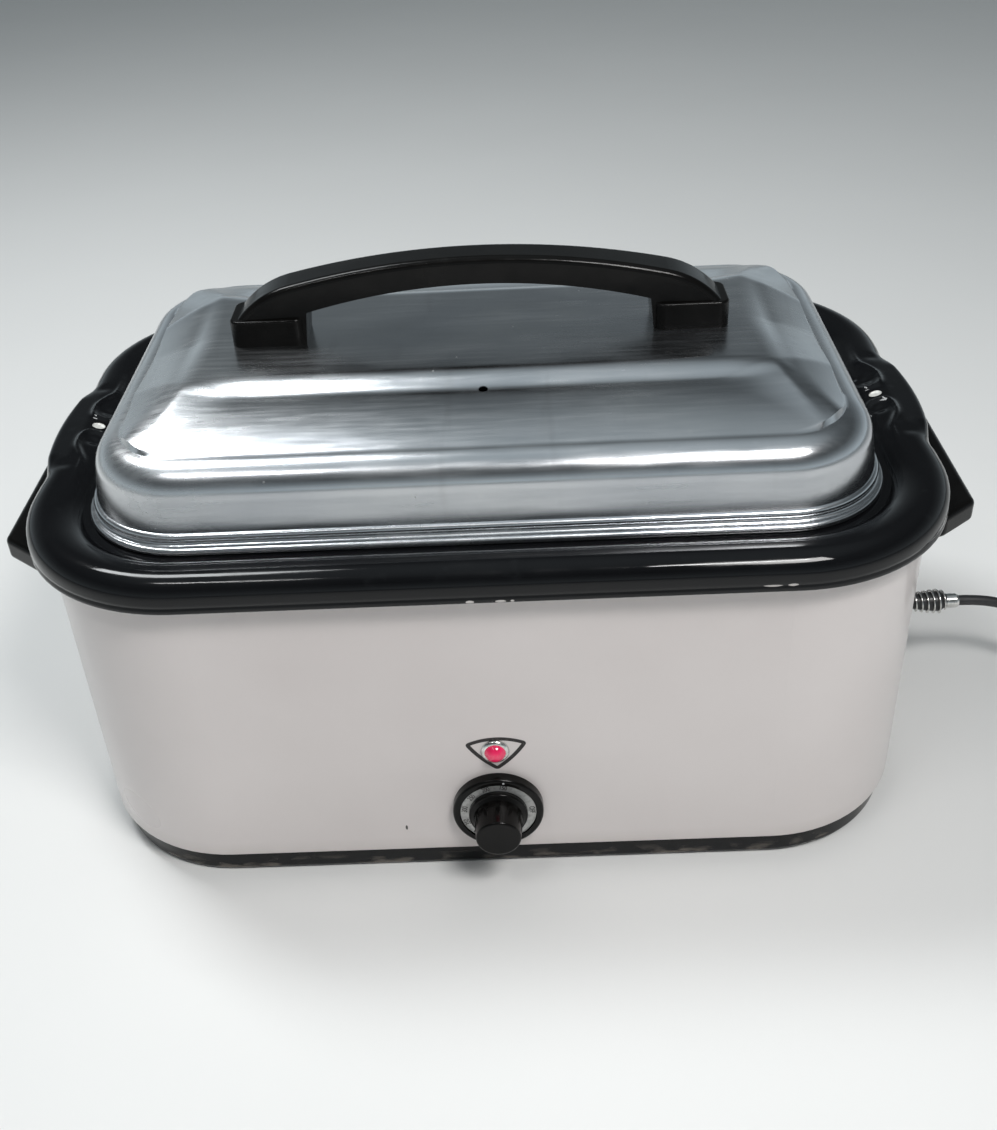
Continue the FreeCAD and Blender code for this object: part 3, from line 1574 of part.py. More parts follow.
def make_lid():
    """The drawn lid: two beads, an upright wall, a hipped shoulder and a raised flat panel."""
    body = new_body("LidShell")
    path = new_sketch(body, "LidPath")
    draw_rounded(path, lid_length, lid_width, lid_corner)
    lip = lid_length / 2
    foot = ledge_level
    shoulder = foot + shoulder_level
    second = foot + bead_height + groove_height
    profile = new_sketch(body, "WallProfile", "XZ_Plane")
    thin = lid_sheet
    draw_outline(
        profile,
        [
            (lip - bead_tuck, foot),
            (lip - bead_tuck, foot + bead_height),
            (lip - groove_inset, second),
            (lip - groove_inset - bead_tuck, second + bead_height),
            (lip - wall_inset - wall_lean, second + bead_height + wall_height),
            (lip - shoulder_inset, shoulder),
            (lip - shoulder_inset, shoulder - thin),
            (lip - wall_inset - wall_lean - thin, second + bead_height + wall_height),
            (lip - wall_inset - thin, second + bead_height),
            (lip - wall_inset - thin, second),
            (lip - bead_tuck - 2 * thin, foot + bead_height),
            (lip - bead_tuck - 2 * thin, foot),
        ],
        {
            0: bead_round,
            1: -bead_round,
            2: bead_round,
            4: shoulder_round,
            6: -(shoulder_round - thin),
        },
    )
    sweep = body.newObject("PartDesign::AdditivePipe", "Wall")
    sweep.Profile = profile
    sweep.Spine = path
    sweep.Mode = "Standard"
    crease = foot + crease_level
    panel = lid_panel
    shoulder_size = (
        lid_length - 2 * shoulder_inset,
        lid_width - 2 * shoulder_inset,
        lid_corner - shoulder_inset,
    )
    crease_size = (crease_length, crease_width, crease_corner)
    panel_size = (panel_length, panel_width, panel_corner)
    rounded_pad(body, "ShoulderRing", *shoulder_size, shoulder - thin, thin)
    loft(body, "Shoulder", (*shoulder_size, shoulder), (*crease_size, crease))
    riser = loft(body, "Riser", (*crease_size, crease), (*panel_size, panel))
    fillet_level(body, "PanelRound", riser, panel, panel_round)

    def inner(size, level):
        length, width, corner = size
        return (length - 2 * thin, width - 2 * thin, corner - thin, level - thin)

    loft(body, "ShoulderInside", inner(shoulder_size, shoulder), inner(crease_size, crease), cut=True)
    loft(body, "RiserInside", inner(crease_size, crease), inner(panel_size, panel), cut=True)
    vent = new_sketch(body, "VentOutline", offset=panel)
    draw_circle(vent, vent_offset, -crease_width / 2, vent_radius)
    pocket(body, "Vent", vent, 2 * (panel_level - shoulder_level))
    holes = new_sketch(body, "ScrewHoles", offset=panel)
    for x, y in lid_screw_places():
        draw_circle(holes, x, y, lid_screw_radius + hole_clearance)
    pocket(body, "ScrewPiercing", holes, 2 * thin)
    return keep(body, "lid_shell")


def lid_screw_places():
    x = bail_half - lid_screw_inset
    return [(side_x * x, side_y * lid_screw_y) for side_x in (-1, 1) for side_y in (-1, 1)]


def make_leg_blocks():
    """Two blocks with rounded corners, on which the bail grip stands."""
    body = new_body("LegBlocks")
    half = bail_block_half_width
    turn = bail_block_corner
    ends = (("Right", bail_foot_half, bail_half), ("Left", -bail_half, -bail_foot_half))
    for tag, low, high in ends:
        plan = new_sketch(body, f"{tag}BlockOutline", offset=lid_panel)
        draw_outline(
            plan,
            [
                (low, turn - half),
                (low + turn, -half),
                (high - turn, -half),
                (high, turn - half),
                (high, half - turn),
                (high - turn, half),
                (low + turn, half),
                (low, half - turn),
            ],
            {0: turn, 2: turn, 4: turn, 6: turn},
        )
        pad(body, f"{tag}Block", plan, bail_block_height)
    fillet_level(body, "BlockRound", body.Tip, lid_panel + bail_block_height, bail_block_round)
    return body


def make_bail_arch():
    """The arch, narrower in its middle; its ends turn down into the blocks on arcs that leave
    the top arc without a kink."""
    body = new_body("BailArch")
    foot = lid_panel
    arch_end = bail_half - bail_step
    arch_foot = foot + bail_block_height - bail_step
    knee = foot + bail_knee_rise
    inner = foot + bail_inner_rise
    run = arch_end - bail_knee_half
    drop = knee - arch_foot
    level_reach = (bail_arch * bail_arch - bail_knee_half * bail_knee_half).root()
    knee_round = (run * run + drop * drop) * bail_arch / 2 / (drop * level_reach - run * bail_knee_half)
    outline = new_sketch(body, "BailOutline", "XZ_Plane")
    draw_outline(
        outline,
        [
            (-arch_end, foot),
            (-bail_foot_half, foot),
            (-bail_inner_half, inner),
            (bail_inner_half, inner),
            (bail_foot_half, foot),
            (arch_end, foot),
            (arch_end, arch_foot),
            (bail_knee_half, knee),
            (-bail_knee_half, knee),
            (-arch_end, arch_foot),
        ],
        {2: -bail_inner_arch, 6: knee_round, 7: bail_arch, 8: knee_round},
    )
    pad(body, "Arch", outline, 2 * bail_half_width, midplane=True)
    waist = new_sketch(body, "WaistOutline", offset=foot)
    depth = bail_half_width - bail_waist
    waist_radius = (arch_end * arch_end + depth * depth) / (2 * depth)
    outside = 2 * bail_half_width
    near = -bail_half_width
    draw_outline(
        waist,
        [(-arch_end, near), (-arch_end, -outside), (arch_end, -outside), (arch_end, near)],
        {3: waist_radius},
    )
    front = pocket(body, "WaistFront", waist, reverse=True)
    mirror = body.newObject("PartDesign::Mirrored", "WaistBack")
    mirror.Originals = [front]
    mirror.MirrorPlane = (origin_plane(body, "XZ_Plane"), [""])
    body.Tip = mirror
    doc.recompute()
    shape = mirror.Shape
    top_edges = []
    for edge in edges_between(shape, arch_foot.value, shape.BoundBox.ZMax):
        box = shape.getElement(edge).BoundBox
        if box.ZLength > TOLERANCE and box.ZMax > knee.value - TOLERANCE:
            top_edges.append(edge)
    fillet(body, "ArchRound", mirror, top_edges, bail_edge_round)
    return body


def make_lid_handle():
    """The long bail grip, moulded in one with its leg blocks and bored from below for its screws."""
    bail = fuse("Bail", [make_bail_arch(), make_leg_blocks()])
    bores = []
    for index, (x, y) in enumerate(lid_screw_places()):
        bores.append(cylinder(f"ScrewBore{index}", lid_screw_radius, lid_screw_depth, x, y, lid_panel))
    return keep(cut_away("LidHandle", bail, fuse("ScrewBores", bores)), "lid_handle")


def make_lid_fasteners():
    screws = []
    washers = []
    underside = lid_panel - lid_sheet
    head_top = underside - lid_washer_thickness
    head_foot = head_top - lid_screw_head_height
    shank_length = lid_panel + lid_screw_depth - head_top
    washer_bore = lid_screw_radius + hole_clearance
    for index, (x, y) in enumerate(lid_screw_places()):
        shank = cylinder(f"LidScrewShank{index}", lid_screw_radius, shank_length, x, y, head_top)
        head = cylinder(f"LidScrewHead{index}", lid_screw_head, lid_screw_head_height, x, y, head_foot)
        screws.append(fuse(f"LidScrew{index}", [shank, head]))
        seat = (lid_washer_thickness, x, y, head_top)
        outer = cylinder(f"LidWasherOuter{index}", lid_washer_radius, *seat)
        inner = cylinder(f"LidWasherInner{index}", washer_bore, *seat)
        washers.append(cut_away(f"LidWasher{index}", outer, inner))
    keep(group("LidHandleScrews", screws), "lid_handle_screws")
    keep(group("LidHandleWashers", washers), "lid_handle_washers")


make_lid()
make_lid_handle()
make_lid_fasteners()


# ---------------------------------------------------------------- appliance plug and cord

# The appliance plug, its guard and the ferrule lie on one line along +X through the inlet.

contact_radius = pin_radius + pin_clearance + contact_wall

# The lead's chosen places: the corners of its way down, the coil's centre and the run of its tail.
LEAD_CORNERS = ((368, 0, 68), (392, -2, 51), (411, -5, 26), (436, -9, 9.5))
COIL_CENTRE = (484, 32)
COIL_ENTRY = -22
FLOOR_GAP = 0.1
TAIL_PLACES = (14, 32, 50, 72)
TAIL_TURN_IN = 3
TIE_ANGLE = 150


def make_plug_half(side, node):
    """One moulded half of the appliance plug, split along the level of the pins."""
    body = new_body("PlugUpper" if side > 0 else "PlugLower")
    front_half = socket_half_width - plug_clearance
    depth = socket_half_height - plug_clearance
    outline = new_sketch(body, "PlanOutline", offset=inlet_height)
    waist = plug_end - plug_taper_length
    draw_outline(
        outline,
        [
            (plug_start, -front_half),
            (waist, -front_half),
            (plug_end, -plug_tail_half_width),
            (plug_end, plug_tail_half_width),
            (waist, front_half),
            (plug_start, front_half),
        ],
        {1: plug_taper_length * 2, 3: plug_taper_length * 2},
    )
    half = pad(body, "Half", outline, depth, reverse=side < 0)
    doc.recompute()
    level = (inlet_height + side * depth).value
    outer = edges_between(half.Shape, level, level)
    fillet(body, "HalfRound", half, outer, plug_edge_round)
    bores = new_sketch(body, "ContactBores", "YZ_Plane", offset=plug_start)
    for y_side in (-1, 1):
        draw_circle(bores, y_side * pin_spacing / 2, inlet_height, contact_radius)
    pocket(body, "ContactHoles", bores, pin_length + contact_wall, reverse=True)
    screws = new_sketch(body, "ScrewOutline", offset=inlet_height)
    for y_side in (-1, 1):
        draw_circle(screws, plug_end - plug_screw_inset, y_side * plug_screw_spacing, plug_screw_radius)
    pocket(body, "ScrewHoles", screws, depth, reverse=side > 0)
    return keep(body, node)


def make_plug_inner_pieces():
    contacts = []
    screws = []
    depth = socket_half_height - plug_clearance
    for y_side in (-1, 1):
        seat = (pin_length, plug_start, y_side * pin_spacing / 2, inlet_height, FACING_RIGHT)
        outer = cylinder(f"ContactOuter{y_side + 1}", contact_radius, *seat)
        inner = cylinder(f"ContactInner{y_side + 1}", contact_radius - contact_wall, *seat)
        contacts.append(cut_away(f"Contact{y_side + 1}", outer, inner))
        screws.append(
            cylinder(
                f"PlugScrew{y_side + 1}",
                plug_screw_radius,
                2 * depth,
                plug_end - plug_screw_inset,
                y_side * plug_screw_spacing,
                inlet_height - depth,
            )
        )
    keep(group("PlugContacts", contacts), "plug_contacts")
    keep(group("PlugScrews", screws), "plug_screws")


def make_guard():
    """The coiled-wire guard, wider towards the cord, as one ribbed turning, and its ferrule."""
    guard = new_body("SpringGuard")
    coil_length = guard_length - guard_nose
    points = [(0, 0)]
    arcs = {}
    for turn in range(guard_turns + 1):
        share = turn / guard_turns
        valley = guard_start_radius - guard_groove + (guard_end_radius - guard_start_radius) * share
        points.append((valley, coil_length * share))
        if turn < guard_turns:
            arcs[turn + 1] = coil_length / guard_turns * guard_wire_share
    points.append((ferrule_radius, guard_length))
    points.append((0, guard_length))
    revolve(guard, "Turns", points, arcs)
    place(guard, plug_end, 0, inlet_height, FACING_RIGHT)
    keep(guard, "spring_guard")

    ferrule = new_body("GuardFerrule")
    revolve(
        ferrule,
        "Sleeve",
        [
            (0, 0),
            (ferrule_radius, 0),
            (ferrule_radius, ferrule_length * 0.8),
            (ferrule_radius - ferrule_length * 0.1, ferrule_length),
            (0, ferrule_length),
        ],
    )
    place(ferrule, guard_end, 0, inlet_height, FACING_RIGHT)
    keep(ferrule, "guard_ferrule")


def make_cord():
    """The lead drops to the surface beside the oven and is wound into a tied coil with its plug."""
    centre_x, centre_y = COIL_CENTRE
    radius = cord_radius.value
    floor = radius + FLOOR_GAP
    outer_turn = coil_turn_radius.value + radius
    corners = [
        (ferrule_end.value, 0, inlet_height.value),
        *LEAD_CORNERS,
        (centre_x + COIL_ENTRY, centre_y - outer_turn, floor),
    ]
    keep(tube("LeadOut", corners, radius, report=True), "power_cord")

    coil = new_body("CordCoil")
    inner = coil_turn_radius - 2 * cord_radius
    outer = coil_turn_radius + 2 * cord_radius
    height = 2 * cord_radius * coil_layers
    revolve(
        coil,
        "Winding",
        [
            (inner, cord_radius),
            (inner + cord_radius, 0),
            (outer - cord_radius, 0),
            (outer, cord_radius),
            (outer, height - cord_radius),
            (outer - cord_radius, height),
            (inner + cord_radius, height),
            (inner, height - cord_radius),
        ],
        {0: cord_radius, 2: cord_radius, 4: cord_radius, 6: cord_radius},
    )
    place(coil, centre_x, centre_y, FLOOR_GAP)
    keep(coil, "cord_coil")

    top = FLOOR_GAP + height.value
    tail_x = centre_x + outer_turn
    tail_start, tail_low, tail_level, tail_end = (centre_y + place_y for place_y in TAIL_PLACES)
    plug_x = tail_x - TAIL_TURN_IN
    plug_level = wall_plug_radius.value + FLOOR_GAP
    corners = [
        (tail_x, tail_start, top - radius),
        (tail_x, tail_low, top - radius - 1),
        (plug_x, tail_level, plug_level),
        (plug_x, tail_end, plug_level),
    ]
    keep(tube("Tail", corners, radius, report=True), "cord_tail")

    tie = new_body("CordTie")
    wide = (inner - tie_thickness, outer + tie_thickness)
    block(tie, "Strap", wide, (-tie_width / 2, tie_width / 2), 0, height + tie_thickness)
    block(tie, "StrapInside", (inner, outer), (-tie_width / 2, tie_width / 2), 0, height, cut=True)
    place(tie, centre_x, centre_y, FLOOR_GAP, FreeCAD.Rotation(Vector(0, 0, 1), TIE_ANGLE))
    keep(tie, "cord_tie")

    plug = new_body("WallPlug")
    grip = wall_plug_radius * 0.45
    edge = 2
    revolve(
        plug,
        "Grip",
        [
            (0, 0),
            (grip, 0),
            (grip + edge, wall_plug_length * 0.3),
            (wall_plug_radius, wall_plug_length * 0.7),
            (wall_plug_radius, wall_plug_length - edge),
            (wall_plug_radius - edge, wall_plug_length),
            (0, wall_plug_length),
        ],
        {2: -wall_plug_length * 0.6, 4: edge},
    )
    facing_back = FreeCAD.Rotation(Vector(1, 0, 0), -90)
    place(plug, plug_x, tail_end, plug_level, facing_back)
    keep(plug, "wall_plug")
    blades = []
    for side in (-1, 1):
        blade = doc.addObject("Part::Box", f"Blade{side + 1}")
        bind(blade, "Length", blade_thickness)
        bind(blade, "Width", blade_length)
        bind(blade, "Height", blade_width)
        place(
            blade,
            plug_x + side * blade_spacing / 2 - blade_thickness / 2,
            tail_end + wall_plug_length,
            plug_level - blade_width / 2,
        )
        blades.append(blade)
    keep(group("WallPlugBlades", blades), "wall_plug_blades")


make_plug_half(1, "appliance_plug_upper")
make_plug_half(-1, "appliance_plug_lower")
make_plug_inner_pieces()
make_guard()
make_cord()


# ---------------------------------------------------------------- check and export

def check_document():
    doc.recompute()
    for thing in doc.Objects:
        if "Invalid" in thing.State or "Error" in thing.State:
            raise ValueError(f"{thing.Name} ({thing.Label}): {thing.State}")
    for part in sub_parts:
        shape = part.Shape
        if shape.isNull() or not shape.isValid() or not shape.Solids:
            raise ValueError(f"{part.Label}: no valid solid")


check_document()
os.makedirs("parts", exist_ok=True)
for part in sub_parts:
    part.Shape.exportStep(f"parts/{part.Label}.step")
print(len(sub_parts), "sub-parts")
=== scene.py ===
import math

import bpy
from mathutils import Matrix, Vector


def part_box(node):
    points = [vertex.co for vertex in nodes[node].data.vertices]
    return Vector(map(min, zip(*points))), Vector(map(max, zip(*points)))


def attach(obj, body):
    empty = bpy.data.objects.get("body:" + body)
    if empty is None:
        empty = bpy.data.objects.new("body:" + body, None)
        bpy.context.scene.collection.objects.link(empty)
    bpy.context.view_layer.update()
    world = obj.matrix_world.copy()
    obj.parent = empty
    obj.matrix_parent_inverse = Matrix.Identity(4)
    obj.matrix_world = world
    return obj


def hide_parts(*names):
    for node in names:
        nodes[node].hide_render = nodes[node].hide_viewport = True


# The looks of an electric roaster oven, in metres and in the frame's own axes: +X to the right,
# +Y to the back, +Z up, with the origin on the table under the oven's middle.  The shapes made
# here have their sizes in millimetres, where a comment says so, and MM scales them.

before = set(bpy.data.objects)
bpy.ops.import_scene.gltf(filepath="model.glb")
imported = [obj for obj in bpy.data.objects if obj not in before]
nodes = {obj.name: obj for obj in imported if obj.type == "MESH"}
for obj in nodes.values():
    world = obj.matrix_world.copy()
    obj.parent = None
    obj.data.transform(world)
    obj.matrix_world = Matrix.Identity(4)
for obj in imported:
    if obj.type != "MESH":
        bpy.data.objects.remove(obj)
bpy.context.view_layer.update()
MM = 0.001


# -------- shader helpers

def new_material(name, colour, roughness, metallic=0.0, **sockets):
    """A Principled material; further sockets are given as words with underscores."""
    made = bpy.data.materials.new(name)
    made.use_nodes = True
    shader = made.node_tree.nodes["Principled BSDF"]
    shader.inputs["Base Color"].default_value = (*colour, 1)
    shader.inputs["Roughness"].default_value = roughness
    shader.inputs["Metallic"].default_value = metallic
    for socket, value in sockets.items():
        shader.inputs[socket.replace("_", " ")].default_value = value
    return made


def shader_of(made):
    return made.node_tree.nodes["Principled BSDF"]


def new_node(made, kind):
    return made.node_tree.nodes.new("ShaderNode" + kind)


def link(made, output, target):
    made.node_tree.links.new(output, target)


def place_of(made, stretch=(1, 1, 1)):
    """The point on the object, in the frame's metres, stretched along its axes."""
    mapping = new_node(made, "Mapping")
    mapping.inputs["Scale"].default_value = stretch
    link(made, new_node(made, "TexCoord").outputs["Object"], mapping.inputs["Vector"])
    return mapping.outputs["Vector"]


def cloud(made, scale, stretch=(1, 1, 1), detail=3.0, warp=0.0):
    """Soft noise; scale is in features per metre."""
    texture = new_node(made, "TexNoise")
    texture.inputs["Scale"].default_value = scale
    texture.inputs["Detail"].default_value = detail
    texture.inputs["Distortion"].default_value = warp
    link(made, place_of(made, stretch), texture.inputs["Vector"])
    return texture.outputs["Fac"]


def cells(made, scale, stretch=(1, 1, 1), feature="F1"):
    """Distance to scattered points, or to the edges of the cells round them."""
    texture = new_node(made, "TexVoronoi")
    texture.feature = feature
    texture.inputs["Scale"].default_value = scale
    link(made, place_of(made, stretch), texture.inputs["Vector"])
    return texture.outputs["Distance"]


def bands(made, scale):
    """Level stripes, such as the turns of a flat winding."""
    texture = new_node(made, "TexWave")
    texture.bands_direction = "Z"
    texture.inputs["Scale"].default_value = scale
    link(made, place_of(made), texture.inputs["Vector"])
    return texture.outputs["Fac"]


def coordinate(made, vector, axis):
    split = new_node(made, "SeparateXYZ")
    link(made, vector, split.inputs["Vector"])
    return split.outputs[axis]


def height_of(made):
    """The point's height in metres."""
    return coordinate(made, place_of(made), "Z")


def beside(made, axis):
    """1 where the surface doesn't face along the axis, falling to 0 where it does."""
    normal = new_node(made, "TexCoord").outputs["Normal"]
    facing = combine(made, "ABSOLUTE", coordinate(made, normal, axis), 0.0)
    return span(made, facing, 0.35, 0.75, 1.0, 0.0)


def span(made, value, low, high, out_low=0.0, out_high=1.0):
    """Maps low..high onto out_low..out_high, clamped."""
    mapped = new_node(made, "MapRange")
    limits = (("From Min", low), ("From Max", high), ("To Min", out_low), ("To Max", out_high))
    for socket, number in limits:
        mapped.inputs[socket].default_value = number
    link(made, value, mapped.inputs["Value"])
    return mapped.outputs["Result"]


def combine(made, operation, first, second):
    """Math on two values, each a socket or a number."""
    maths = new_node(made, "Math")
    maths.operation = operation
    for index, value in enumerate((first, second)):
        if isinstance(value, (int, float)):
            maths.inputs[index].default_value = value
        else:
            link(made, value, maths.inputs[index])
    return maths.outputs["Value"]


def blend_colour(made, factor, first, second):
    """Mixes two colours, each a socket or three numbers."""
    mix = new_node(made, "Mix")
    mix.data_type = "RGBA"
    link(made, factor, mix.inputs["Factor"])
    for name, value in (("A", first), ("B", second)):
        socket = next(s for s in mix.inputs if s.name == name and s.type == "RGBA")
        if isinstance(value, tuple):
            socket.default_value = (*value, 1)
        else:
            link(made, value, socket)
    return next(s for s in mix.outputs if s.type == "RGBA")


# How uneven a patch's edge is, how wide it fades, and how many bumps go on the patch's half size.
PATCH_RAGGED = 0.3
PATCH_FADE = 0.12
PATCH_BUMPS = 1.6


def uneven_patch(made, centre, reach):
    """1 inside an uneven patch about a point, with half sizes reach in metres, and 0 outside."""
    mapping = new_node(made, "Mapping")
    mapping.vector_type = "TEXTURE"
    mapping.inputs["Location"].default_value = centre
    mapping.inputs["Scale"].default_value = reach
    length = new_node(made, "VectorMath")
    length.operation = "LENGTH"
    link(made, new_node(made, "TexCoord").outputs["Object"], mapping.inputs["Vector"])
    link(made, mapping.outputs["Vector"], length.inputs[0])
    bumps = cloud(made, PATCH_BUMPS / min(reach), detail=2)
    uneven = combine(made, "MULTIPLY", bumps, PATCH_RAGGED)
    away = combine(made, "ADD", length.outputs["Value"], uneven)
    edge = 1.0 + PATCH_RAGGED / 2
    return span(made, away, edge, edge + PATCH_FADE, 1.0, 0.0)


def set_colour(made, socket):
    link(made, socket, shader_of(made).inputs["Base Color"])


def set_roughness(made, socket):
    link(made, socket, shader_of(made).inputs["Roughness"])


def add_bump(made, height, strength, depth):
    """Bump of the given depth in metres, on top of any bump that is already there."""
    bump = new_node(made, "Bump")
    bump.inputs["Strength"].default_value = strength
    bump.inputs["Distance"].default_value = depth
    link(made, height, bump.inputs["Height"])
    normal = shader_of(made).inputs["Normal"]
    if normal.is_linked:
        link(made, normal.links[0].from_socket, bump.inputs["Normal"])
    link(made, bump.outputs["Normal"], normal)


# -------- materials

# Where the enamel has worn: chips as (place, half sizes), though the last two on the lip are a
# painted highlight;
# and levels between which marks fade: darkening towards the casing's foot, wear on the lip, and on
# the base pan's foot wear together with a painted reflection of the table.
CASING_CHIP = ((-0.0594, -0.1795, 0.0385), (0.0007, 0.004, 0.0019))
LIP_CHIPS_AND_HIGHLIGHT = (
    ((-0.0085, -0.19, 0.2232), (0.0022, 0.004, 0.0009)),
    ((0.0085, -0.19, 0.2230), (0.0028, 0.004, 0.0008)),
    ((0.0150, -0.19, 0.2230), (0.0010, 0.004, 0.0007)),
    # These last two are a painted highlight on the front of the lip, not chips.
    ((0.1580, -0.19, 0.2262), (0.0050, 0.006, 0.0007)),
    ((0.1690, -0.19, 0.2264), (0.0028, 0.006, 0.0009)),
)
CASING_DARKER_LOW = (0.018, 0.030)
LIP_FOOT = (0.2205, 0.2215)
LIP_TOP = (0.2218, 0.2245)
BASE_WEAR_AND_REFLECTION = (0.0, 0.012)


def white_enamel():
    """Old white baked enamel: slightly pink, a little uneven, darker in blotches towards its foot,
    and chipped in one small place near the base.
    """
    made = new_material(
        "white_enamel", (0.64, 0.60, 0.605), 0.3, Coat_Weight=0.3, Coat_Roughness=0.1
    )
    clouds = span(made, cloud(made, 4), 0.3, 0.7)
    tone = blend_colour(made, clouds, (0.64, 0.585, 0.57), (0.71, 0.66, 0.645))
    grime = span(made, cloud(made, 12, detail=3), 0.4, 0.9, 0.0, 0.10)
    tone = blend_colour(made, grime, tone, (0.48, 0.43, 0.41))
    # Darker in blotches towards the casing's foot.
    low = span(made, height_of(made), *CASING_DARKER_LOW, 0.4, 0.0)
    low = combine(made, "MULTIPLY", low, cloud(made, 30))
    tone = blend_colour(made, low, tone, (0.40, 0.35, 0.31))
    tone = blend_colour(made, uneven_patch(made, *CASING_CHIP), tone, (0.035, 0.028, 0.025))
    set_colour(made, tone)
    set_roughness(made, span(made, cloud(made, 6, detail=2), 0.3, 0.7, 0.27, 0.33))
    return made


def black_enamel(wear=True):
    """Deep black glass enamel; with wear, the rim's lip has worn through in places and carries a
    painted highlight on its front.
    """
    made = new_material("black_enamel", (0.004, 0.004, 0.005), 0.09, Specular_IOR_Level=0.3)
    tone = blend_colour(made, cloud(made, 9), (0.0025, 0.0025, 0.003), (0.006, 0.0065, 0.0075))
    dust = span(made, cloud(made, 90, detail=6), 0.62, 0.85, 0.0, 0.3)
    tone = blend_colour(made, dust, tone, (0.022, 0.024, 0.026))
    if wear:
        top = span(made, height_of(made), *LIP_TOP, 1.0, 0.0)
        foot = span(made, height_of(made), *LIP_FOOT)
        ragged = span(made, cloud(made, 60, detail=6), 0.68, 0.71)
        worn = combine(made, "MULTIPLY", combine(made, "MULTIPLY", top, foot), ragged)
        tone = blend_colour(made, worn, tone, (0.33, 0.3, 0.28))
        # Pale chips on the lip, and a pale painted highlight on its front.
        for centre, reach in LIP_CHIPS_AND_HIGHLIGHT:
            tone = blend_colour(made, uneven_patch(made, centre, reach), tone, (0.55, 0.52, 0.50))
    set_colour(made, tone)
    set_roughness(made, span(made, cloud(made, 30, detail=5), 0.35, 0.8, 0.05, 0.2))
    add_bump(made, cloud(made, 110, detail=1), 0.08, 0.0004)
    add_bump(made, cloud(made, 24, detail=1), 0.12, 0.0012)
    return made


def phenolic():
    """Moulded black phenolic, polished, with a faint brown mottle where hands have rubbed it."""
    made = new_material("black_phenolic", (0.004, 0.004, 0.004), 0.16, Specular_IOR_Level=0.17)
    mottle = cloud(made, 50, detail=6)
    tone = blend_colour(made, mottle, (0.002, 0.002, 0.002), (0.006, 0.0055, 0.005))
    rubbed = span(made, cloud(made, 14, detail=4), 0.55, 0.8, 0.0, 0.4)
    set_colour(made, blend_colour(made, rubbed, tone, (0.014, 0.013, 0.012)))
    set_roughness(made, span(made, cloud(made, 70, detail=5), 0.3, 0.75, 0.1, 0.26))
    add_bump(made, cloud(made, 900, detail=2), 0.04, 0.0001)
    return made


def lid_aluminium():
    """Polished once and rubbed since: fine grain both ways, milky patches and water spots.

    The grain is left out where the surface faces along it, because it would show as dots there.
    """
    made = new_material("lid_aluminium", (0.74, 0.76, 0.79), 0.22, 1.0)
    patches = span(made, cloud(made, 7, stretch=(1, 1.6, 2), detail=5, warp=0.4), 0.35, 0.7)
    tone = blend_colour(made, patches, (0.66, 0.68, 0.71), (0.82, 0.83, 0.84))
    streaks = span(made, cloud(made, 26, stretch=(3.2, 0.5, 0.5), detail=4), 0.6, 0.8, 0.0, 0.3)
    tone = blend_colour(made, streaks, tone, (0.50, 0.50, 0.51))
    spots = span(made, cells(made, 60), 0.04, 0.12, 0.4, 0.0)
    tone = blend_colour(made, combine(made, "MULTIPLY", spots, patches), tone, (0.9, 0.9, 0.89))
    marks = span(made, cells(made, 34), 0.012, 0.03, 0.8, 0.0)
    tone = blend_colour(made, marks, tone, (0.97, 0.97, 0.97))
    set_colour(made, tone)
    fine = span(made, cloud(made, 300, stretch=(0.08, 1, 1), detail=3), 0.3, 0.7, -0.03, 0.05)
    fine = combine(made, "MULTIPLY", fine, beside(made, "X"))
    broad = span(made, cloud(made, 9, detail=5), 0.3, 0.75, 0.15, 0.30)
    rough = combine(made, "ADD", broad, fine)
    set_roughness(made, combine(made, "ADD", rough, combine(made, "MULTIPLY", marks, 0.25)))
    long_grain = cloud(made, 380, stretch=(0.06, 1, 1), detail=3)
    cross_grain = cloud(made, 160, stretch=(1, 0.06, 1), detail=3)
    add_bump(made, combine(made, "MULTIPLY", long_grain, beside(made, "X")), 0.1, 0.0001)
    add_bump(made, combine(made, "MULTIPLY", cross_grain, beside(made, "Y")), 0.08, 0.0001)
    edges = cells(made, 42, stretch=(1, 0.12, 0.3), feature="DISTANCE_TO_EDGE")
    add_bump(made, span(made, edges, 0.0, 0.02), 0.08, 0.0001)
    add_bump(made, cloud(made, 16, detail=1), 0.22, 0.0018)
    return made


def metal(name, colour, roughness, scale=120, spread=0.12):
    """A plain worked metal with a slight grain."""
    made = new_material(name, colour, roughness, 1.0)
    dull = tuple(channel * 0.62 for channel in colour)
    patches = span(made, cloud(made, scale, detail=5), 0.45, 0.8)
    set_colour(made, blend_colour(made, patches, colour, dull))
    grain = cloud(made, scale * 2, detail=3)
    set_roughness(made, span(made, grain, 0.3, 0.7, roughness, roughness + spread))
    add_bump(made, cloud(made, scale * 5, detail=2), 0.12, 0.0001)
    return made


def plated():
    """Dull tin plate, gone a little grey."""
    made = new_material("dull_plate", (0.66, 0.66, 0.63), 0.4, 0.25)
    tone = blend_colour(made, cloud(made, 500, detail=3), (0.58, 0.58, 0.55), (0.72, 0.72, 0.69))
    set_colour(made, tone)
    return made


def base_black():
    """The base pan: black enamel, paler and warmer where it meets the table, partly greyed by heat
    and handling and partly a painted reflection of the table.
    """
    made = black_enamel(wear=False)
    made.name = "base_enamel"
    # Paler and warmer towards the table: wear, and a painted reflection of the table.
    low = span(made, height_of(made), *BASE_WEAR_AND_REFLECTION, 1.0, 0.0)
    ragged = span(made, cloud(made, 45, stretch=(1, 1, 3), detail=6), 0.5, 0.62)
    worn = combine(made, "MULTIPLY", low, ragged)
    enamel = shader_of(made).inputs["Base Color"].links[0].from_socket
    set_colour(made, blend_colour(made, worn, enamel, (0.16, 0.14, 0.12)))
    return made


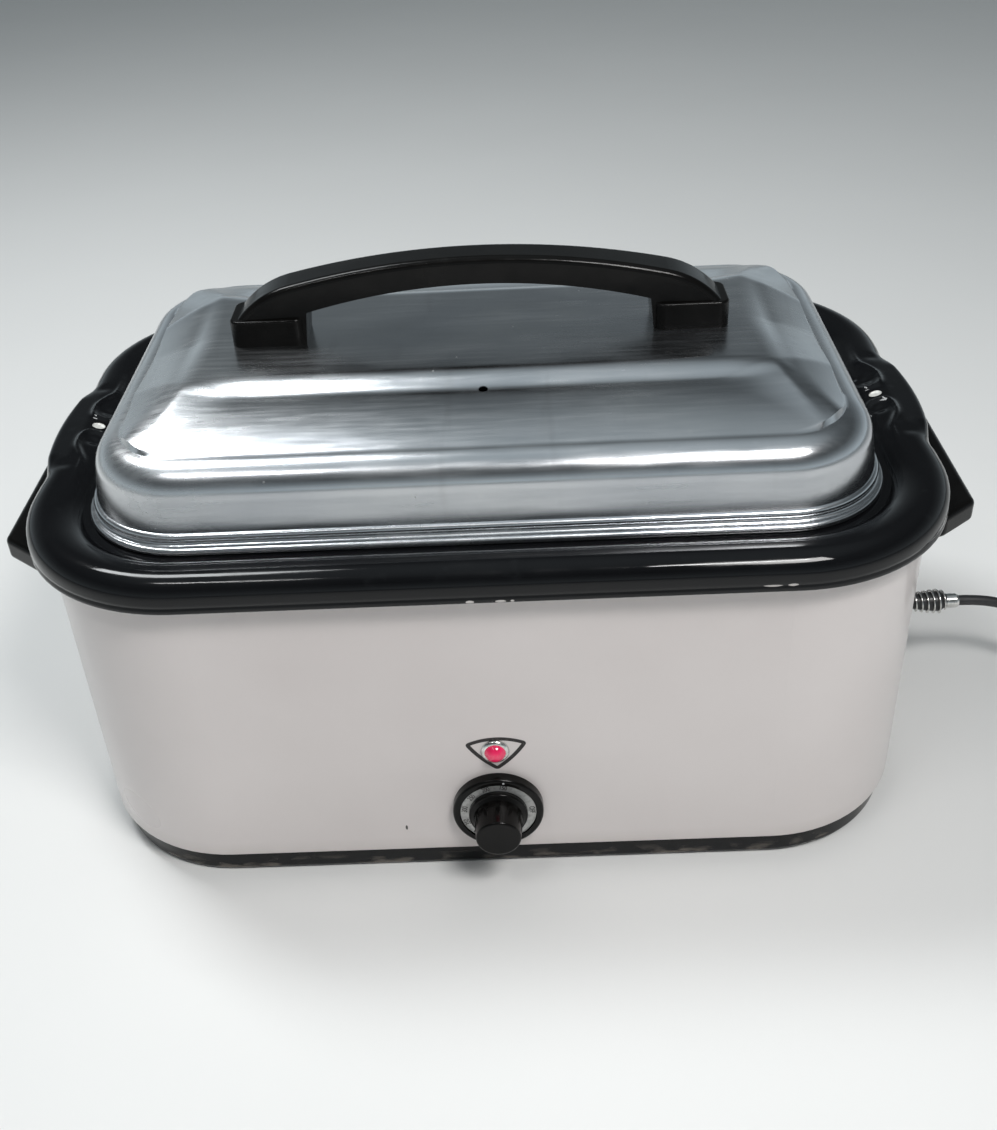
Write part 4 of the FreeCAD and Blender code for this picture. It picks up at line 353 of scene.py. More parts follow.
def jewel():
    """Red moulded lens with a painted glow: a weak emission stands in for the light that comes back
    out through it.
    """
    made = new_material(
        "ruby_lens", (0.60, 0.012, 0.07), 0.12, Coat_Weight=0.8, Coat_Roughness=0.03
    )
    # Painted glow, standing in for light caught in the lens.
    shader_of(made).inputs["Emission Color"].default_value = (0.75, 0.01, 0.09, 1)
    shader_of(made).inputs["Emission Strength"].default_value = 0.22
    set_colour(made, blend_colour(made, cloud(made, 260), (0.45, 0.006, 0.045), (0.80, 0.03, 0.13)))
    add_bump(made, cells(made, 420), 0.25, 0.0006)
    return made


def ink(name, colour):
    """Screen-printed ink, thin in places."""
    made = new_material(name, colour, 0.4)
    paler = tuple(min(1.0, channel + 0.05) for channel in colour)
    thin = span(made, cloud(made, 700, detail=4), 0.62, 0.75)
    set_colour(made, blend_colour(made, thin, colour, paler))
    return made


def cord_cover():
    """Dull black rubber."""
    made = new_material("cord_cover", (0.012, 0.012, 0.013), 0.5, Coat_Weight=0.1)
    dust = cloud(made, 240, detail=5)
    set_colour(made, blend_colour(made, dust, (0.008, 0.008, 0.009), (0.03, 0.03, 0.032)))
    set_roughness(made, span(made, cloud(made, 90, detail=4), 0.3, 0.7, 0.4, 0.6))
    add_bump(made, cloud(made, 1500, detail=1), 0.25, 0.0002)
    return made


def blanket():
    """Yellow glass-fibre wool."""
    made = new_material("glass_fibre", (0.78, 0.68, 0.40), 0.9, Sheen_Weight=0.4)
    tufts = cloud(made, 60, detail=6)
    set_colour(made, blend_colour(made, tufts, (0.62, 0.52, 0.26), (0.86, 0.78, 0.5)))
    add_bump(made, cloud(made, 300, stretch=(1, 1, 3), detail=6), 0.8, 0.002)
    return made


def mica():
    """A brown mica band, striped by the winding round it."""
    made = new_material("mica_band", (0.42, 0.33, 0.22), 0.42)
    set_colour(made, blend_colour(made, bands(made, 60), (0.30, 0.23, 0.15), (0.5, 0.41, 0.28)))
    add_bump(made, bands(made, 60), 0.5, 0.0006)
    return made


def sleeving():
    """Pale braided glass sleeving of the leads."""
    made = new_material("glass_sleeve", (0.70, 0.66, 0.56), 0.75)
    set_colour(made, blend_colour(made, cells(made, 900), (0.5, 0.46, 0.38), (0.78, 0.75, 0.66)))
    add_bump(made, cells(made, 1100), 0.6, 0.0003)
    return made


def floor_finish():
    """A plain pale floor, which takes the oven's shadow."""
    made = new_material("floor", (0.80, 0.80, 0.79), 0.75, Specular_IOR_Level=0.2)
    tone = blend_colour(made, cloud(made, 3), (0.78, 0.78, 0.77), (0.82, 0.82, 0.81))
    set_colour(made, tone)
    return made


WHITE = white_enamel()
BLACK = black_enamel()
BASE = base_black()
PHENOLIC = phenolic()
LID = lid_aluminium()
STEEL = metal("zinc_steel", (0.56, 0.57, 0.58), 0.34)
BRIGHT = metal("nickel_steel", (0.72, 0.71, 0.69), 0.16, scale=260)
EYELET = plated()
BRASS = metal("brass", (0.78, 0.58, 0.28), 0.26)
COPPER = metal("copper", (0.80, 0.42, 0.28), 0.28)
DIAL = metal("dial_aluminium", (0.5, 0.5, 0.49), 0.5, scale=400, spread=0.08)
SHEATH = metal("heater_sheath", (0.20, 0.18, 0.17), 0.45)
RUBY = jewel()
INK = ink("print_black", (0.012, 0.008, 0.008))
DOT = ink("print_silver", (0.42, 0.42, 0.43))
CORD = cord_cover()
FIBRE = blanket()
MICA = mica()
SLEEVE = sleeving()

NODE_FINISHES = (
    (WHITE, ["outer_casing"]),
    (BASE, ["base_pan"]),
    (BLACK, ["inset_pan"]),
    (LID, ["lid_shell"]),
    (DIAL, ["number_ring"]),
    (MICA, ["side_heater"]),
    (FIBRE, ["insulation_blanket"]),
    (SHEATH, ["floor_heater"]),
    (RUBY, ["jewel_lens", "pilot_lamp"]),
    (SLEEVE, ["supply_leads", "heater_leads"]),
    (COPPER, ["thermostat_bulb", "capillary_tube"]),
    (BRASS, ["thermostat_nut", "plug_contacts", "wall_plug_blades"]),
    (CORD, ["power_cord", "cord_coil", "cord_tail", "cord_tie"]),
    (STEEL, ["tie_rods", "spacer_sleeves", "heating_well", "floor_heater_clips"]),
    (STEEL, ["reflector_plate", "control_shaft", "bulb_clips", "lens_push_nut"]),
    (STEEL, ["side_handle_bolts", "lid_handle_washers"]),
    (BRIGHT, ["tie_rod_nuts", "knob_grub_screw", "lens_bezel", "side_handle_nuts"]),
    (BRIGHT, ["inlet_pins", "lid_handle_screws", "plug_screws"]),
    (BRIGHT, ["spring_guard", "guard_ferrule"]),
    (PHENOLIC, ["thermostat_body", "dial_bezel", "control_knob", "lamp_holder"]),
    (PHENOLIC, ["right_side_handle", "left_side_handle", "lid_handle"]),
    (PHENOLIC, ["inlet_socket", "appliance_plug_upper", "appliance_plug_lower", "wall_plug"]),
)

for finish, names in NODE_FINISHES:
    for name in names:
        nodes[name].data.materials.clear()
        nodes[name].data.materials.append(finish)


# -------- mesh helpers

def add_object(name, data):
    made = bpy.data.objects.new(name, data)
    bpy.context.scene.collection.objects.link(made)
    return made


def new_piece(name, vertices, faces, finish, body, smooth=True):
    """A visual piece that moves with a body and fills a material slot."""
    mesh = bpy.data.meshes.new(name)
    mesh.from_pydata([tuple(v) for v in vertices], [], faces)
    mesh.validate()
    mesh.materials.append(finish)
    if smooth:
        mesh.shade_smooth()
    piece = add_object(name, mesh)
    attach(piece, body)
    return piece


def evaluated_mesh(piece):
    """The piece's mesh with its modifiers applied, or a text's as a mesh."""
    bpy.context.view_layer.update()
    evaluated = piece.evaluated_get(bpy.context.evaluated_depsgraph_get())
    return bpy.data.meshes.new_from_object(evaluated)


def circle(radius, sides):
    """The points of a round outline about the origin."""
    turns = [math.tau * side / sides for side in range(sides)]
    return [(radius * math.cos(turn), radius * math.sin(turn)) for turn in turns]


def rounded_outline(half_x, half_y, corner, points_x, points_y, corner_steps):
    """Points and outward normals anticlockwise round a rounded rectangle.

    They start at the front of its right side.  points_x and points_y say how many stand on a
    straight side along each axis.
    """
    along_x = (half_y, half_y - corner, half_x - corner, points_x)
    along_y = (half_x, half_x - corner, half_y - corner, points_y)
    found = []
    for quarter, (x, y) in enumerate(((1, 0), (0, 1), (-1, 0), (0, -1))):
        normal = Vector((x, y))
        onward = Vector((-y, x))
        half, core, reach, points = along_y if x else along_x
        for index in range(points):
            share = 2 * index / (points - 1) - 1
            found.append((half * normal + reach * share * onward, normal))
        centre = core * normal + reach * onward
        for step in range(1, corner_steps):
            angle = (quarter + step / corner_steps) * math.pi / 2
            outward = Vector((math.cos(angle), math.sin(angle)))
            found.append((centre + corner * outward, outward))
    return found


def skin_rings(rings, cap_both=False):
    """Quads between equal rings of points, the last of them closed with one face, or both ends."""
    size = len(rings[0])
    last = (len(rings) - 1) * size
    vertices = [point for ring in rings for point in ring]
    faces = []
    for low in range(0, last, size):
        high = low + size
        for index in range(size):
            following = (index + 1) % size
            faces.append((low + index, low + following, high + following, high + index))
    faces.append(tuple(last + index for index in range(size)))
    if cap_both:
        faces.append(tuple(reversed(range(size))))
    return vertices, faces


def smooth_step(value):
    """0 below 0, 1 above 1 and smooth between."""
    value = min(1.0, max(0.0, value))
    return value * value * (3 - 2 * value)


# -------- pressed shapes

def bow(start, end, radius, steps):
    """Points on an arc from start to end, its start left out; a positive radius turns left."""
    start = Vector(start)
    end = Vector(end)
    chord = end - start
    half = chord.length / 2
    height = math.sqrt(max(radius * radius - half * half, 0.0))
    left = Vector((-chord.y, chord.x)).normalized()
    centre = (start + end) / 2 + left * math.copysign(height, radius)
    first = start - centre
    swing = 2 * math.asin(min(1.0, half / abs(radius))) * math.copysign(1, radius)
    found = []
    for step in range(1, steps + 1):
        turn = swing * step / steps
        cosine = math.cos(turn)
        sine = math.sin(turn)
        turned = Vector((first.x * cosine - first.y * sine, first.x * sine + first.y * cosine))
        found.append(centre + turned)
    return found


def run(start, end, steps):
    """Points on a straight line from start to end, its start left out."""
    start = Vector(start)
    end = Vector(end)
    return [start.lerp(end, step / steps) for step in range(1, steps + 1)]


def soft_min(first, second, blend):
    """The lower of two heights, rounded over where they lie within blend of each other."""
    share = max(0.0, blend - abs(first - second)) / blend
    return min(first, second) - share * share * blend / 4


def soft_max(first, second, blend):
    return -soft_min(-first, -second, blend)


DRILL_SIDES = 32
SHARP_ANGLE = math.radians(40)


def cut_round_holes(piece, holes, radius, low, high):
    """Cuts upright round holes at the given places between two levels, all in millimetres."""
    rim = circle(radius * MM, DRILL_SIDES)
    for x, y in holes:
        rings = [[(x * MM + a, y * MM + b, level * MM) for a, b in rim] for level in (low, high)]
        vertices, faces = skin_rings(rings, cap_both=True)
        mesh = bpy.data.meshes.new("drill")
        mesh.from_pydata(vertices, [], faces)
        drill = add_object("drill", mesh)
        bore = piece.modifiers.new("bore", "BOOLEAN")
        bore.operation = "DIFFERENCE"
        bore.object = drill
        cut = evaluated_mesh(piece)
        piece.modifiers.clear()
        cut.set_sharp_from_angle(angle=SHARP_ANGLE)
        piece.data = cut
        bpy.data.objects.remove(drill)


# -------- printed marks

# In millimetres.  The dial's words go with their angles, in degrees clockwise from its top.
DIAL_HEIGHT = 55.0
NUMBER_RADIUS = 21.2
WORD_HEIGHT = 4.9
WORD_WEIGHT = 0.09
WORD_NARROWING = 0.7
DIAL_WORDS = (
    ("150", 10), ("200", -20), ("250", -50), ("300", -80), ("350", -110),
    ("400", -140), ("450", -170), ("500", -200), ("OFF", 86),
)
EYE_RIGHT = (18.2, 108.0)
EYE_LEFT = (-16.9, 107.6)
EYE_BOTTOM = (0.8, 87.9)
EYE_LINE = 2.6
EYE_TOP_RADIUS = 40.5
EYE_SIDE_RADIUS = 68.0
DOT_ANGLE = 9
DOT_PLACE = 26.2
DOT_RADIUS = 0.75
DOT_SIDES = 20
WALL_PRINT_LIFT = 0.06
DIAL_PRINT_LIFT = 0.05

wall_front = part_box("outer_casing")[0].y
ring_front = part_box("number_ring")[0].y
bezel_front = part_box("dial_bezel")[0].y


def cut_corners(points, passes):
    """A closed line with its corners cut, which rounds them a little more at each pass."""
    for _ in range(passes):
        found = []
        for index, point in enumerate(points):
            following = points[(index + 1) % len(points)]
            found += [point.lerp(following, 0.25), point.lerp(following, 0.75)]
        points = found
    return points


def make_eye_outline():
    """The printed line round the pilot light: an arch over two sides that meet below it."""
    line = bow(EYE_RIGHT, EYE_LEFT, EYE_TOP_RADIUS, 14)
    line += bow(EYE_LEFT, EYE_BOTTOM, EYE_SIDE_RADIUS, 10)
    line += bow(EYE_BOTTOM, EYE_RIGHT, EYE_SIDE_RADIUS, 10)
    line = cut_corners(line, 2)
    count = len(line)
    front = wall_front - WALL_PRINT_LIFT * MM
    vertices = []
    for index, point in enumerate(line):
        heading = (line[(index + 1) % count] - line[index - 1]).normalized()
        outward = Vector((heading.y, -heading.x)) * EYE_LINE / 2
        for place in (point - outward, point + outward):
            vertices.append((place.x * MM, front, place.y * MM))
    faces = []
    for index in range(count):
        following = (index + 1) % count
        faces.append((2 * index, 2 * following, 2 * following + 1, 2 * index + 1))
    new_piece("lamp_outline", vertices, faces, INK, "housing", smooth=False)


def dial_place(degrees, radius, front):
    """The forward-facing place at an angle clockwise from the dial's top, its head outwards."""
    turn = math.radians(degrees)
    right = Vector((math.cos(turn), 0, -math.sin(turn)))
    up = Vector((math.sin(turn), 0, math.cos(turn)))
    facing = Vector((0, -1, 0))
    turned = Matrix((right, up, facing)).transposed().to_4x4()
    centre = Vector((0, front, DIAL_HEIGHT * MM)) + radius * MM * up
    return Matrix.Translation(centre) @ turned


def make_dial_words():
    """The dial's numbers as one piece, their tops turned outwards."""
    vertices = []
    faces = []
    for words, degrees in DIAL_WORDS:
        text = bpy.data.curves.new("dial_words", "FONT")
        text.body = words
        text.size = WORD_HEIGHT * MM
        text.offset = WORD_WEIGHT * MM
        text.align_x = "CENTER"
        text.align_y = "CENTER"
        carrier = add_object("dial_words", text)
        shape = evaluated_mesh(carrier)
        place = dial_place(degrees, NUMBER_RADIUS, ring_front - DIAL_PRINT_LIFT * MM)
        start = len(vertices)
        vertices += [place @ Vector((v.co.x * WORD_NARROWING, v.co.y, 0)) for v in shape.vertices]
        faces += [tuple(start + index for index in face.vertices) for face in shape.polygons]
        bpy.data.objects.remove(carrier)
    new_piece("dial_print", vertices, faces, INK, "control", smooth=False)


def make_index_dot():
    """The small silver dot on the bezel that the numbers are read against."""
    place = dial_place(DOT_ANGLE, DOT_PLACE, bezel_front - DIAL_PRINT_LIFT * MM)
    vertices = [place @ Vector((x, y, 0)) for x, y in circle(DOT_RADIUS * MM, DOT_SIDES)]
    face = tuple(range(DOT_SIDES))
    new_piece("index_dot", vertices, [face], DOT, "housing", smooth=False)


make_eye_outline()
make_dial_words()
make_index_dot()


# -------- spring guard

# In millimetres.
GUARD_START = 296.4
GUARD_TIP = 330.1
GUARD_LEVEL = 68.0
GUARD_TURNS = 7.6
GUARD_WIRE = 0.75
GUARD_SIDES = 8
GUARD_STEPS = 34
GUARD_SLIM = 5.6
GUARD_SWELL = 2.9
GUARD_NOSE = 2.6
NOSE_FROM = 0.86
WIRE_END_GAP = 0.9
CORE_GAP = 1.1
CORE_LEAST = 3.9
CORE_SINK = 0.2
CORE_RINGS = 18
CORE_SIDES = 28


def guard_radius(x):
    """The radius of the guard's wire line: slim by the plug, and swelling towards the ferrule."""
    share = (x - GUARD_START) / (GUARD_TIP - GUARD_START)
    swell = GUARD_SWELL * smooth_step(share / NOSE_FROM)
    nose = GUARD_NOSE * smooth_step((share - NOSE_FROM) / (1 - NOSE_FROM))
    return GUARD_SLIM + swell - nose


def make_guard_wire():
    """The guard's coiled wire."""
    along = Vector((1, 0, 0))
    first = GUARD_START + WIRE_END_GAP
    length = GUARD_TIP - GUARD_START - 2 * WIRE_END_GAP
    count = round(GUARD_TURNS * GUARD_STEPS)
    rings = []
    for step in range(count + 1):
        share = step / count
        x = first + share * length
        turn = math.tau * GUARD_TURNS * share
        out = Vector((0, math.cos(turn), math.sin(turn)))
        middle = Vector((x, 0, GUARD_LEVEL)) + guard_radius(x) * out
        section = circle(GUARD_WIRE, GUARD_SIDES)
        rings.append([(middle + a * out + b * along) * MM for a, b in section])
    vertices, faces = skin_rings(rings, cap_both=True)
    wire = new_piece("guard_coil", vertices, faces, BRIGHT, "cord_set")
    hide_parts("spring_guard")
    return wire


def make_guard_core():
    """The dark cord cover that shows between the wire's turns."""
    rings = []
    for step in range(CORE_RINGS):
        reach = step / (CORE_RINGS - 1) * (GUARD_TIP - GUARD_START + CORE_SINK)
        x = GUARD_START - CORE_SINK + reach
        radius = max(CORE_LEAST, guard_radius(x) - CORE_GAP)
        section = circle(radius, CORE_SIDES)
        rings.append([(x * MM, y * MM, (GUARD_LEVEL + z) * MM) for y, z in section])
    vertices, faces = skin_rings(rings, cap_both=True)
    return new_piece("guard_core", vertices, faces, CORD, "cord_set")


# -------- cord

# The route's points are those of the frame's own cord, in metres: out of the ferrule, down to the
# table, round the put-away coil and on to the wall plug.
CORD_DIAMETER = 7.5 * MM
COIL_CENTRE = (0.484, 0.032)
COIL_INNER = 36.25 * MM
COIL_OUTER = 43.75 * MM
COIL_LEVELS = (3.85 * MM, 11.35 * MM, 18.85 * MM)
COIL_TURNS = 6.25
POINTS_PER_TURN = 14
CHANGE_SHARE = 0.12

ferrule_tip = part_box("guard_ferrule")[1].x
LEAD_ROUTE = [
    (ferrule_tip, 0, 0.068),
    (0.368, 0, 0.068),
    (0.392, -0.002, 0.051),
    (0.411, -0.005, 0.026),
    (0.436, -0.009, 0.0095),
    (0.462, -0.01175, 0.00385),
]
TAIL_ROUTE = [
    (0.52775, 0.046, 0.01885),
    (0.52775, 0.064, 0.01785),
    (0.52475, 0.082, 0.0141),
    (0.52475, 0.104, 0.0141),
]
# Where each full turn lies: its radius and its level.
TURN_SEATS = [
    (COIL_OUTER, COIL_LEVELS[0]),
    (COIL_INNER, COIL_LEVELS[0]),
    (COIL_INNER, COIL_LEVELS[1]),
    (COIL_OUTER, COIL_LEVELS[1]),
    (COIL_INNER, COIL_LEVELS[2]),
    (COIL_OUTER, COIL_LEVELS[2]),
    (COIL_OUTER, COIL_LEVELS[2]),
]


def coil_route():
    """The turns, each of which changes to the next one's seat in its last part."""
    found = []
    steps = round(COIL_TURNS * POINTS_PER_TURN)
    for step in range(steps + 1):
        turns = step / POINTS_PER_TURN
        turn = min(int(turns), len(TURN_SEATS) - 2)
        change = smooth_step((turns - turn - (1 - CHANGE_SHARE)) / CHANGE_SHARE)
        radius, level = (
            low + (high - low) * change for low, high in zip(TURN_SEATS[turn], TURN_SEATS[turn + 1])
        )
        angle = -math.pi / 2 + 2 * math.pi * turns
        x = COIL_CENTRE[0] + radius * math.cos(angle)
        y = COIL_CENTRE[1] + radius * math.sin(angle)
        found.append((x, y, level))
    return found


def make_cord():
    """The whole mains cord as one curve, and its spring guard."""
    guard_wire = make_guard_wire()
    guard_core = make_guard_core()
    curve = bpy.data.curves.new("mains_cord", "CURVE")
    curve.dimensions = "3D"
    curve.bevel_depth = CORD_DIAMETER / 2
    curve.bevel_resolution = 5
    curve.use_fill_caps = True
    curve.resolution_u = 10
    route = LEAD_ROUTE + coil_route() + TAIL_ROUTE
    line = curve.splines.new("NURBS")
    line.points.add(len(route) - 1)
    for point, place in zip(line.points, route):
        point.co = (*place, 1)
    line.order_u = 3
    line.use_endpoint_u = True
    curve.materials.append(CORD)
    piece = add_object("mains_cord", curve)
    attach(piece, "cord_set")
    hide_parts("power_cord", "cord_coil", "cord_tail")


make_cord()


# -------- lid

# In millimetres; a section's points are (how far outside the lid's half sizes, level).
LID_HALF = (240.5, 150.5)
LID_CORNER = 66.5
LID_SHEET = 1.2
LID_FOOT = (-1.0, 234.0)
LOWER_BEAD_TOP = (-1.0, 239.0)
UPPER_BEAD_FOOT = (-4.4, 241.6)
UPPER_BEAD_TOP = (-5.4, 246.6)
WALL_TOP = (-9.0, 266.6)
BEAD_RADIUS = 2.7
SHOULDER_RADIUS = 19.0
# The shoulder's top as (inset, level), and the insets and levels of the wall's inner side.
SHOULDER = (26.0, 284.0)
INNER_WALL = ((6.0, 234.0), (6.0, 244.0), (7.2, 256.0), (9.0, 266.0))
INNER_SHOULDER_RADIUS = 18.0
# The shallow slopes end in a crease, and a riser goes on from it to the flat panel.
FRONT_RUN = 52.5
END_RUN = 31.5
CREASE_RISE = 11.5
CREASE_LEVEL = SHOULDER[1] + CREASE_RISE
SLOPE_CROWN = 0.6
SLOPE_LIMITS = (-0.2, 1.25)
RISER_RUN = 8.6
PANEL_LEVEL = 301.0
# Ridges run from the panel's corners down to these places at the shoulder's corners.
RIDGE_FOOT = (194.0, 113.0)
RIDGE_OVERRUN = 1.2
RIDGE_END_FALL = 0.4
RIDGE_FRONT_FALL = 0.5
# How widely neighbouring faces run into each other; a ridge's is given at its top and its foot.
SLOPE_BLEND = 3.0
RISER_BLEND = 4.0
CREASE_BLEND = 2.0
RIDGE_BLENDS = (14.0, 7.0)
PANEL_BLEND = 4.6
# How much narrower, shallower and rounder the innermost ring is than the shoulder's.
TOP_SHRINK = (66.0, 84.0, 34.0)
# How many points an outline has along X, along Y and in steps round a corner.
LID_POINTS = (110, 50, 18)
VENT = (2.0, -75.5)
VENT_RADIUS = 2.8
VENT_DRILL = (270.0, 310.0)


def crown(share):
    """The level up a slope, which eases off from the shoulder (0) to the crease (1)."""
    share = min(SLOPE_LIMITS[1], max(SLOPE_LIMITS[0], share))
    return SHOULDER[1] + CREASE_RISE * share * (1 + SLOPE_CROWN - SLOPE_CROWN * share)


def lid_height(x, y):
    """The lid's top inside its shoulder: four shallow slopes, a soft riser round the flat panel,
    and broad ridges that run from the panel's corners down to the shoulder's."""
    across = abs(x)
    along = abs(y)
    front = LID_HALF[1] - SHOULDER[0] - along
    end = LID_HALF[0] - SHOULDER[0] - across
    slopes = soft_min(crown(front / FRONT_RUN), crown(end / END_RUN), SLOPE_BLEND)
    steep = (PANEL_LEVEL - CREASE_LEVEL) / RISER_RUN
    front_riser = CREASE_LEVEL + steep * (front - FRONT_RUN)
    end_riser = CREASE_LEVEL + steep * (end - END_RUN)
    riser = soft_min(front_riser, end_riser, RISER_BLEND)
    panel_x = LID_HALF[0] - SHOULDER[0] - END_RUN - RISER_RUN
    panel_y = LID_HALF[1] - SHOULDER[0] - FRONT_RUN - RISER_RUN
    ridge = Vector((RIDGE_FOOT[0] - panel_x, RIDGE_FOOT[1] - panel_y))
    reach = ridge.length
    ridge /= reach
    down = (across - panel_x) * ridge.x + (along - panel_y) * ridge.y
    aside = -(across - panel_x) * ridge.y + (along - panel_y) * ridge.x
    share = min(RIDGE_OVERRUN, max(0.0, down) / reach)
    crest = PANEL_LEVEL - (PANEL_LEVEL - SHOULDER[1]) * share
    fall = RIDGE_FRONT_FALL * aside if aside > 0 else -RIDGE_END_FALL * aside
    wide, narrow = RIDGE_BLENDS
    blend = wide - (wide - narrow) * min(1.0, share)
    top = soft_max(soft_max(slopes, riser, CREASE_BLEND), crest - fall, blend)
    return soft_min(top, PANEL_LEVEL, PANEL_BLEND)


def lid_wall():
    """The wall's outer section, from its foot over two beads to the shoulder."""
    wall = [Vector(LID_FOOT)]
    wall += bow(LID_FOOT, LOWER_BEAD_TOP, BEAD_RADIUS, 8)
    wall += bow(LOWER_BEAD_TOP, UPPER_BEAD_FOOT, -BEAD_RADIUS, 6)
    wall += bow(UPPER_BEAD_FOOT, UPPER_BEAD_TOP, BEAD_RADIUS, 8)
    wall += run(UPPER_BEAD_TOP, WALL_TOP, 6)
    wall += bow(WALL_TOP, (-SHOULDER[0], SHOULDER[1]), SHOULDER_RADIUS, 16)
    return wall


def lid_outline(inset_x, inset_y, inset_corner):
    """The points of the lid's outline, each size made smaller by its inset."""
    outline = rounded_outline(
        (LID_HALF[0] - inset_x) * MM,
        (LID_HALF[1] - inset_y) * MM,
        (LID_CORNER - inset_corner) * MM,
        *LID_POINTS,
    )
    return [point for point, _ in outline]


def lid_wall_ring(inset, level):
    return [(p.x, p.y, level * MM) for p in lid_outline(inset, inset, inset)]


def lid_top_rings(rows, thin):
    """From inside the shoulder's ring to one well inside the panel, with ever smaller corners."""
    found = []
    for row in range(1, rows + 1):
        insets = [SHOULDER[0] + thin + row / rows * shrink for shrink in TOP_SHRINK]
        outline = lid_outline(*insets)
        found.append([(p.x, p.y, (lid_height(p.x / MM, p.y / MM) - thin) * MM) for p in outline])
    return found


def make_lid_shell():
    """The drawn lid as one closed sheet, with its vent hole."""
    outside = [lid_wall_ring(-p.x, p.y) for p in lid_wall()] + lid_top_rings(60, 0.0)
    inside = [lid_wall_ring(inset + LID_SHEET, level) for inset, level in INNER_WALL]
    inner_shoulder = (-SHOULDER[0], SHOULDER[1] - LID_SHEET)
    for p in bow(WALL_TOP, inner_shoulder, INNER_SHOULDER_RADIUS, 10):
        inside.append(lid_wall_ring(LID_SHEET - p.x, p.y))
    inside += lid_top_rings(30, LID_SHEET)
    vertices, faces = skin_rings(inside[::-1] + outside, cap_both=True)
    shell = new_piece("lid_shell_form", vertices, faces, LID, "lid")
    cut_round_holes(shell, [VENT], VENT_RADIUS, *VENT_DRILL)
    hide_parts("lid_shell")


# -------- inset pan

# In millimetres; a section's points are (inset from the rim's half sizes, level).
RIM_HALF = (280.0, 190.0)
RIM_CORNER = 106.0
PAN_SHEET = 1.2
# The rim: an upright lip with a small bead in it, a round roll, and a fall to the ledge.
LIP_SECTION = (
    (0.35, 222.0), (0.0, 222.7), (0.0, 224.6), (0.55, 225.6),
    (0.55, 226.0), (0.0, 227.0), (0.0, 228.5), (0.0, 230.0),
)
INNER_LIP_FOOT = 222.4
RIM_ROLL = 13.0
RIM_TOP = 243.0
LEDGE = (34.0, 234.0)
BACK_RADIUS = 29.0
# A lug: its lip reaches out further and starts higher, and its top is nearly flat.  Its foot and
# the top of its edge are (reach, level), and LUG_EDGE has its edge's lowest and highest level.
LUG_REACH = 4.7
LUG_FOOT = (4.3, 233.4)
LUG_EDGE = (233.6, 238.2)
LUG_TOP = (1.0, 242.3)
LUG_EDGE_RADIUS = 4.2
# Along Y: where a lug ends and how widely it fades, how it bows in as (depth, place, furthest
# place), the outer share of the rim that bows, and the notch at its end as (depth, place, width).
LUG_END = 66.0
LUG_FADE = 29.0
LUG_BOW = (4.0, 46.0, 56.0)
LUG_BOW_SHARE = 0.55
NOTCH = (1.8, 61.0, 8.0)
LUGS_FROM = 200.0
LUG_HOLE = 258.0
LUG_HOLE_RADIUS = 4.0
LUG_DRILL = (232.0, 250.0)
# Below the rim: the ledge's inner edge, the wall and the floor.
LEDGE_END = 45.0
EDGE_RADIUS = 3.2
PAN_FLOOR = 79.0
FLOOR_RADIUS = 20.8
FLOOR_INSETS = (90.0, 140.0)
LEAST_CORNER = 3.0
PAN_POINTS = (60, 150, 22)
# The embossing on a lug: a scrolled ridge, and dents as (place, depth, width).
SCROLL = (
    (251, 26), (248.4, 18.5), (250.6, 11.5), (256.6, 8.6), (262.4, 10.8), (264.8, 17),
    (264.4, 28), (260.5, 37.5), (257, 46), (256.6, 60), (257.6, 78),
)
SCROLL_HEIGHT = 2.1
SCROLL_WIDTH = 1.9
SCROLL_FADES = (0.06, 0.22)
HOLLOW = ((256.8, 20.0), 1.5, 4.2)
FOLD = ((267.0, 52.0), 0.8, 5.0)
EMBOSSED_FROM = 240.0
EMBOSSED_TO = 90.0
CLEAR_ROUND_HOLE = 5.0
CLEAR_FADE = 5.5


def spline(points, steps):
    """A smooth line through points."""
    found = []
    count = len(points)
    for index in range(count - 1):
        before = Vector(points[max(index - 1, 0)])
        start = Vector(points[index])
        end = Vector(points[index + 1])
        after = Vector(points[min(index + 2, count - 1)])
        for step in range(steps):
            t = step / steps
            bend = 2 * before - 5 * start + 4 * end - after
            twist = 3 * start - before - 3 * end + after
            found.append(start + ((end - before) * t + bend * t**2 + twist * t**3) / 2)
    found.append(Vector(points[-1]))
    return found


SCROLL_LINE = spline(SCROLL, 8)


def bulge(gap, height, width):
    """A bell-shaped height at a distance from its middle."""
    return height * math.exp(-((gap / width) ** 2))


def emboss(x, y):
    """The height of the scrolled ridges and of the hollows they turn round."""
    across = abs(x)
    along = abs(y)
    if across < EMBOSSED_FROM or along > EMBOSSED_TO:
        return 0.0
    here = Vector((across, along))
    gaps = [(point - here).length for point in SCROLL_LINE]
    nearest = gaps.index(min(gaps))
    share = nearest / (len(SCROLL_LINE) - 1)
    fade_in, fade_out = SCROLL_FADES
    fade = smooth_step(share / fade_in) * smooth_step((1 - share) / fade_out)
    height = fade * bulge(gaps[nearest], SCROLL_HEIGHT, SCROLL_WIDTH)
    for place, depth, width in (HOLLOW, FOLD):
        height -= bulge((here - Vector(place)).length, depth, width)
    from_hole = (here - Vector((LUG_HOLE, 0.0))).length
    return height * smooth_step((from_hole - CLEAR_ROUND_HOLE) / CLEAR_FADE)


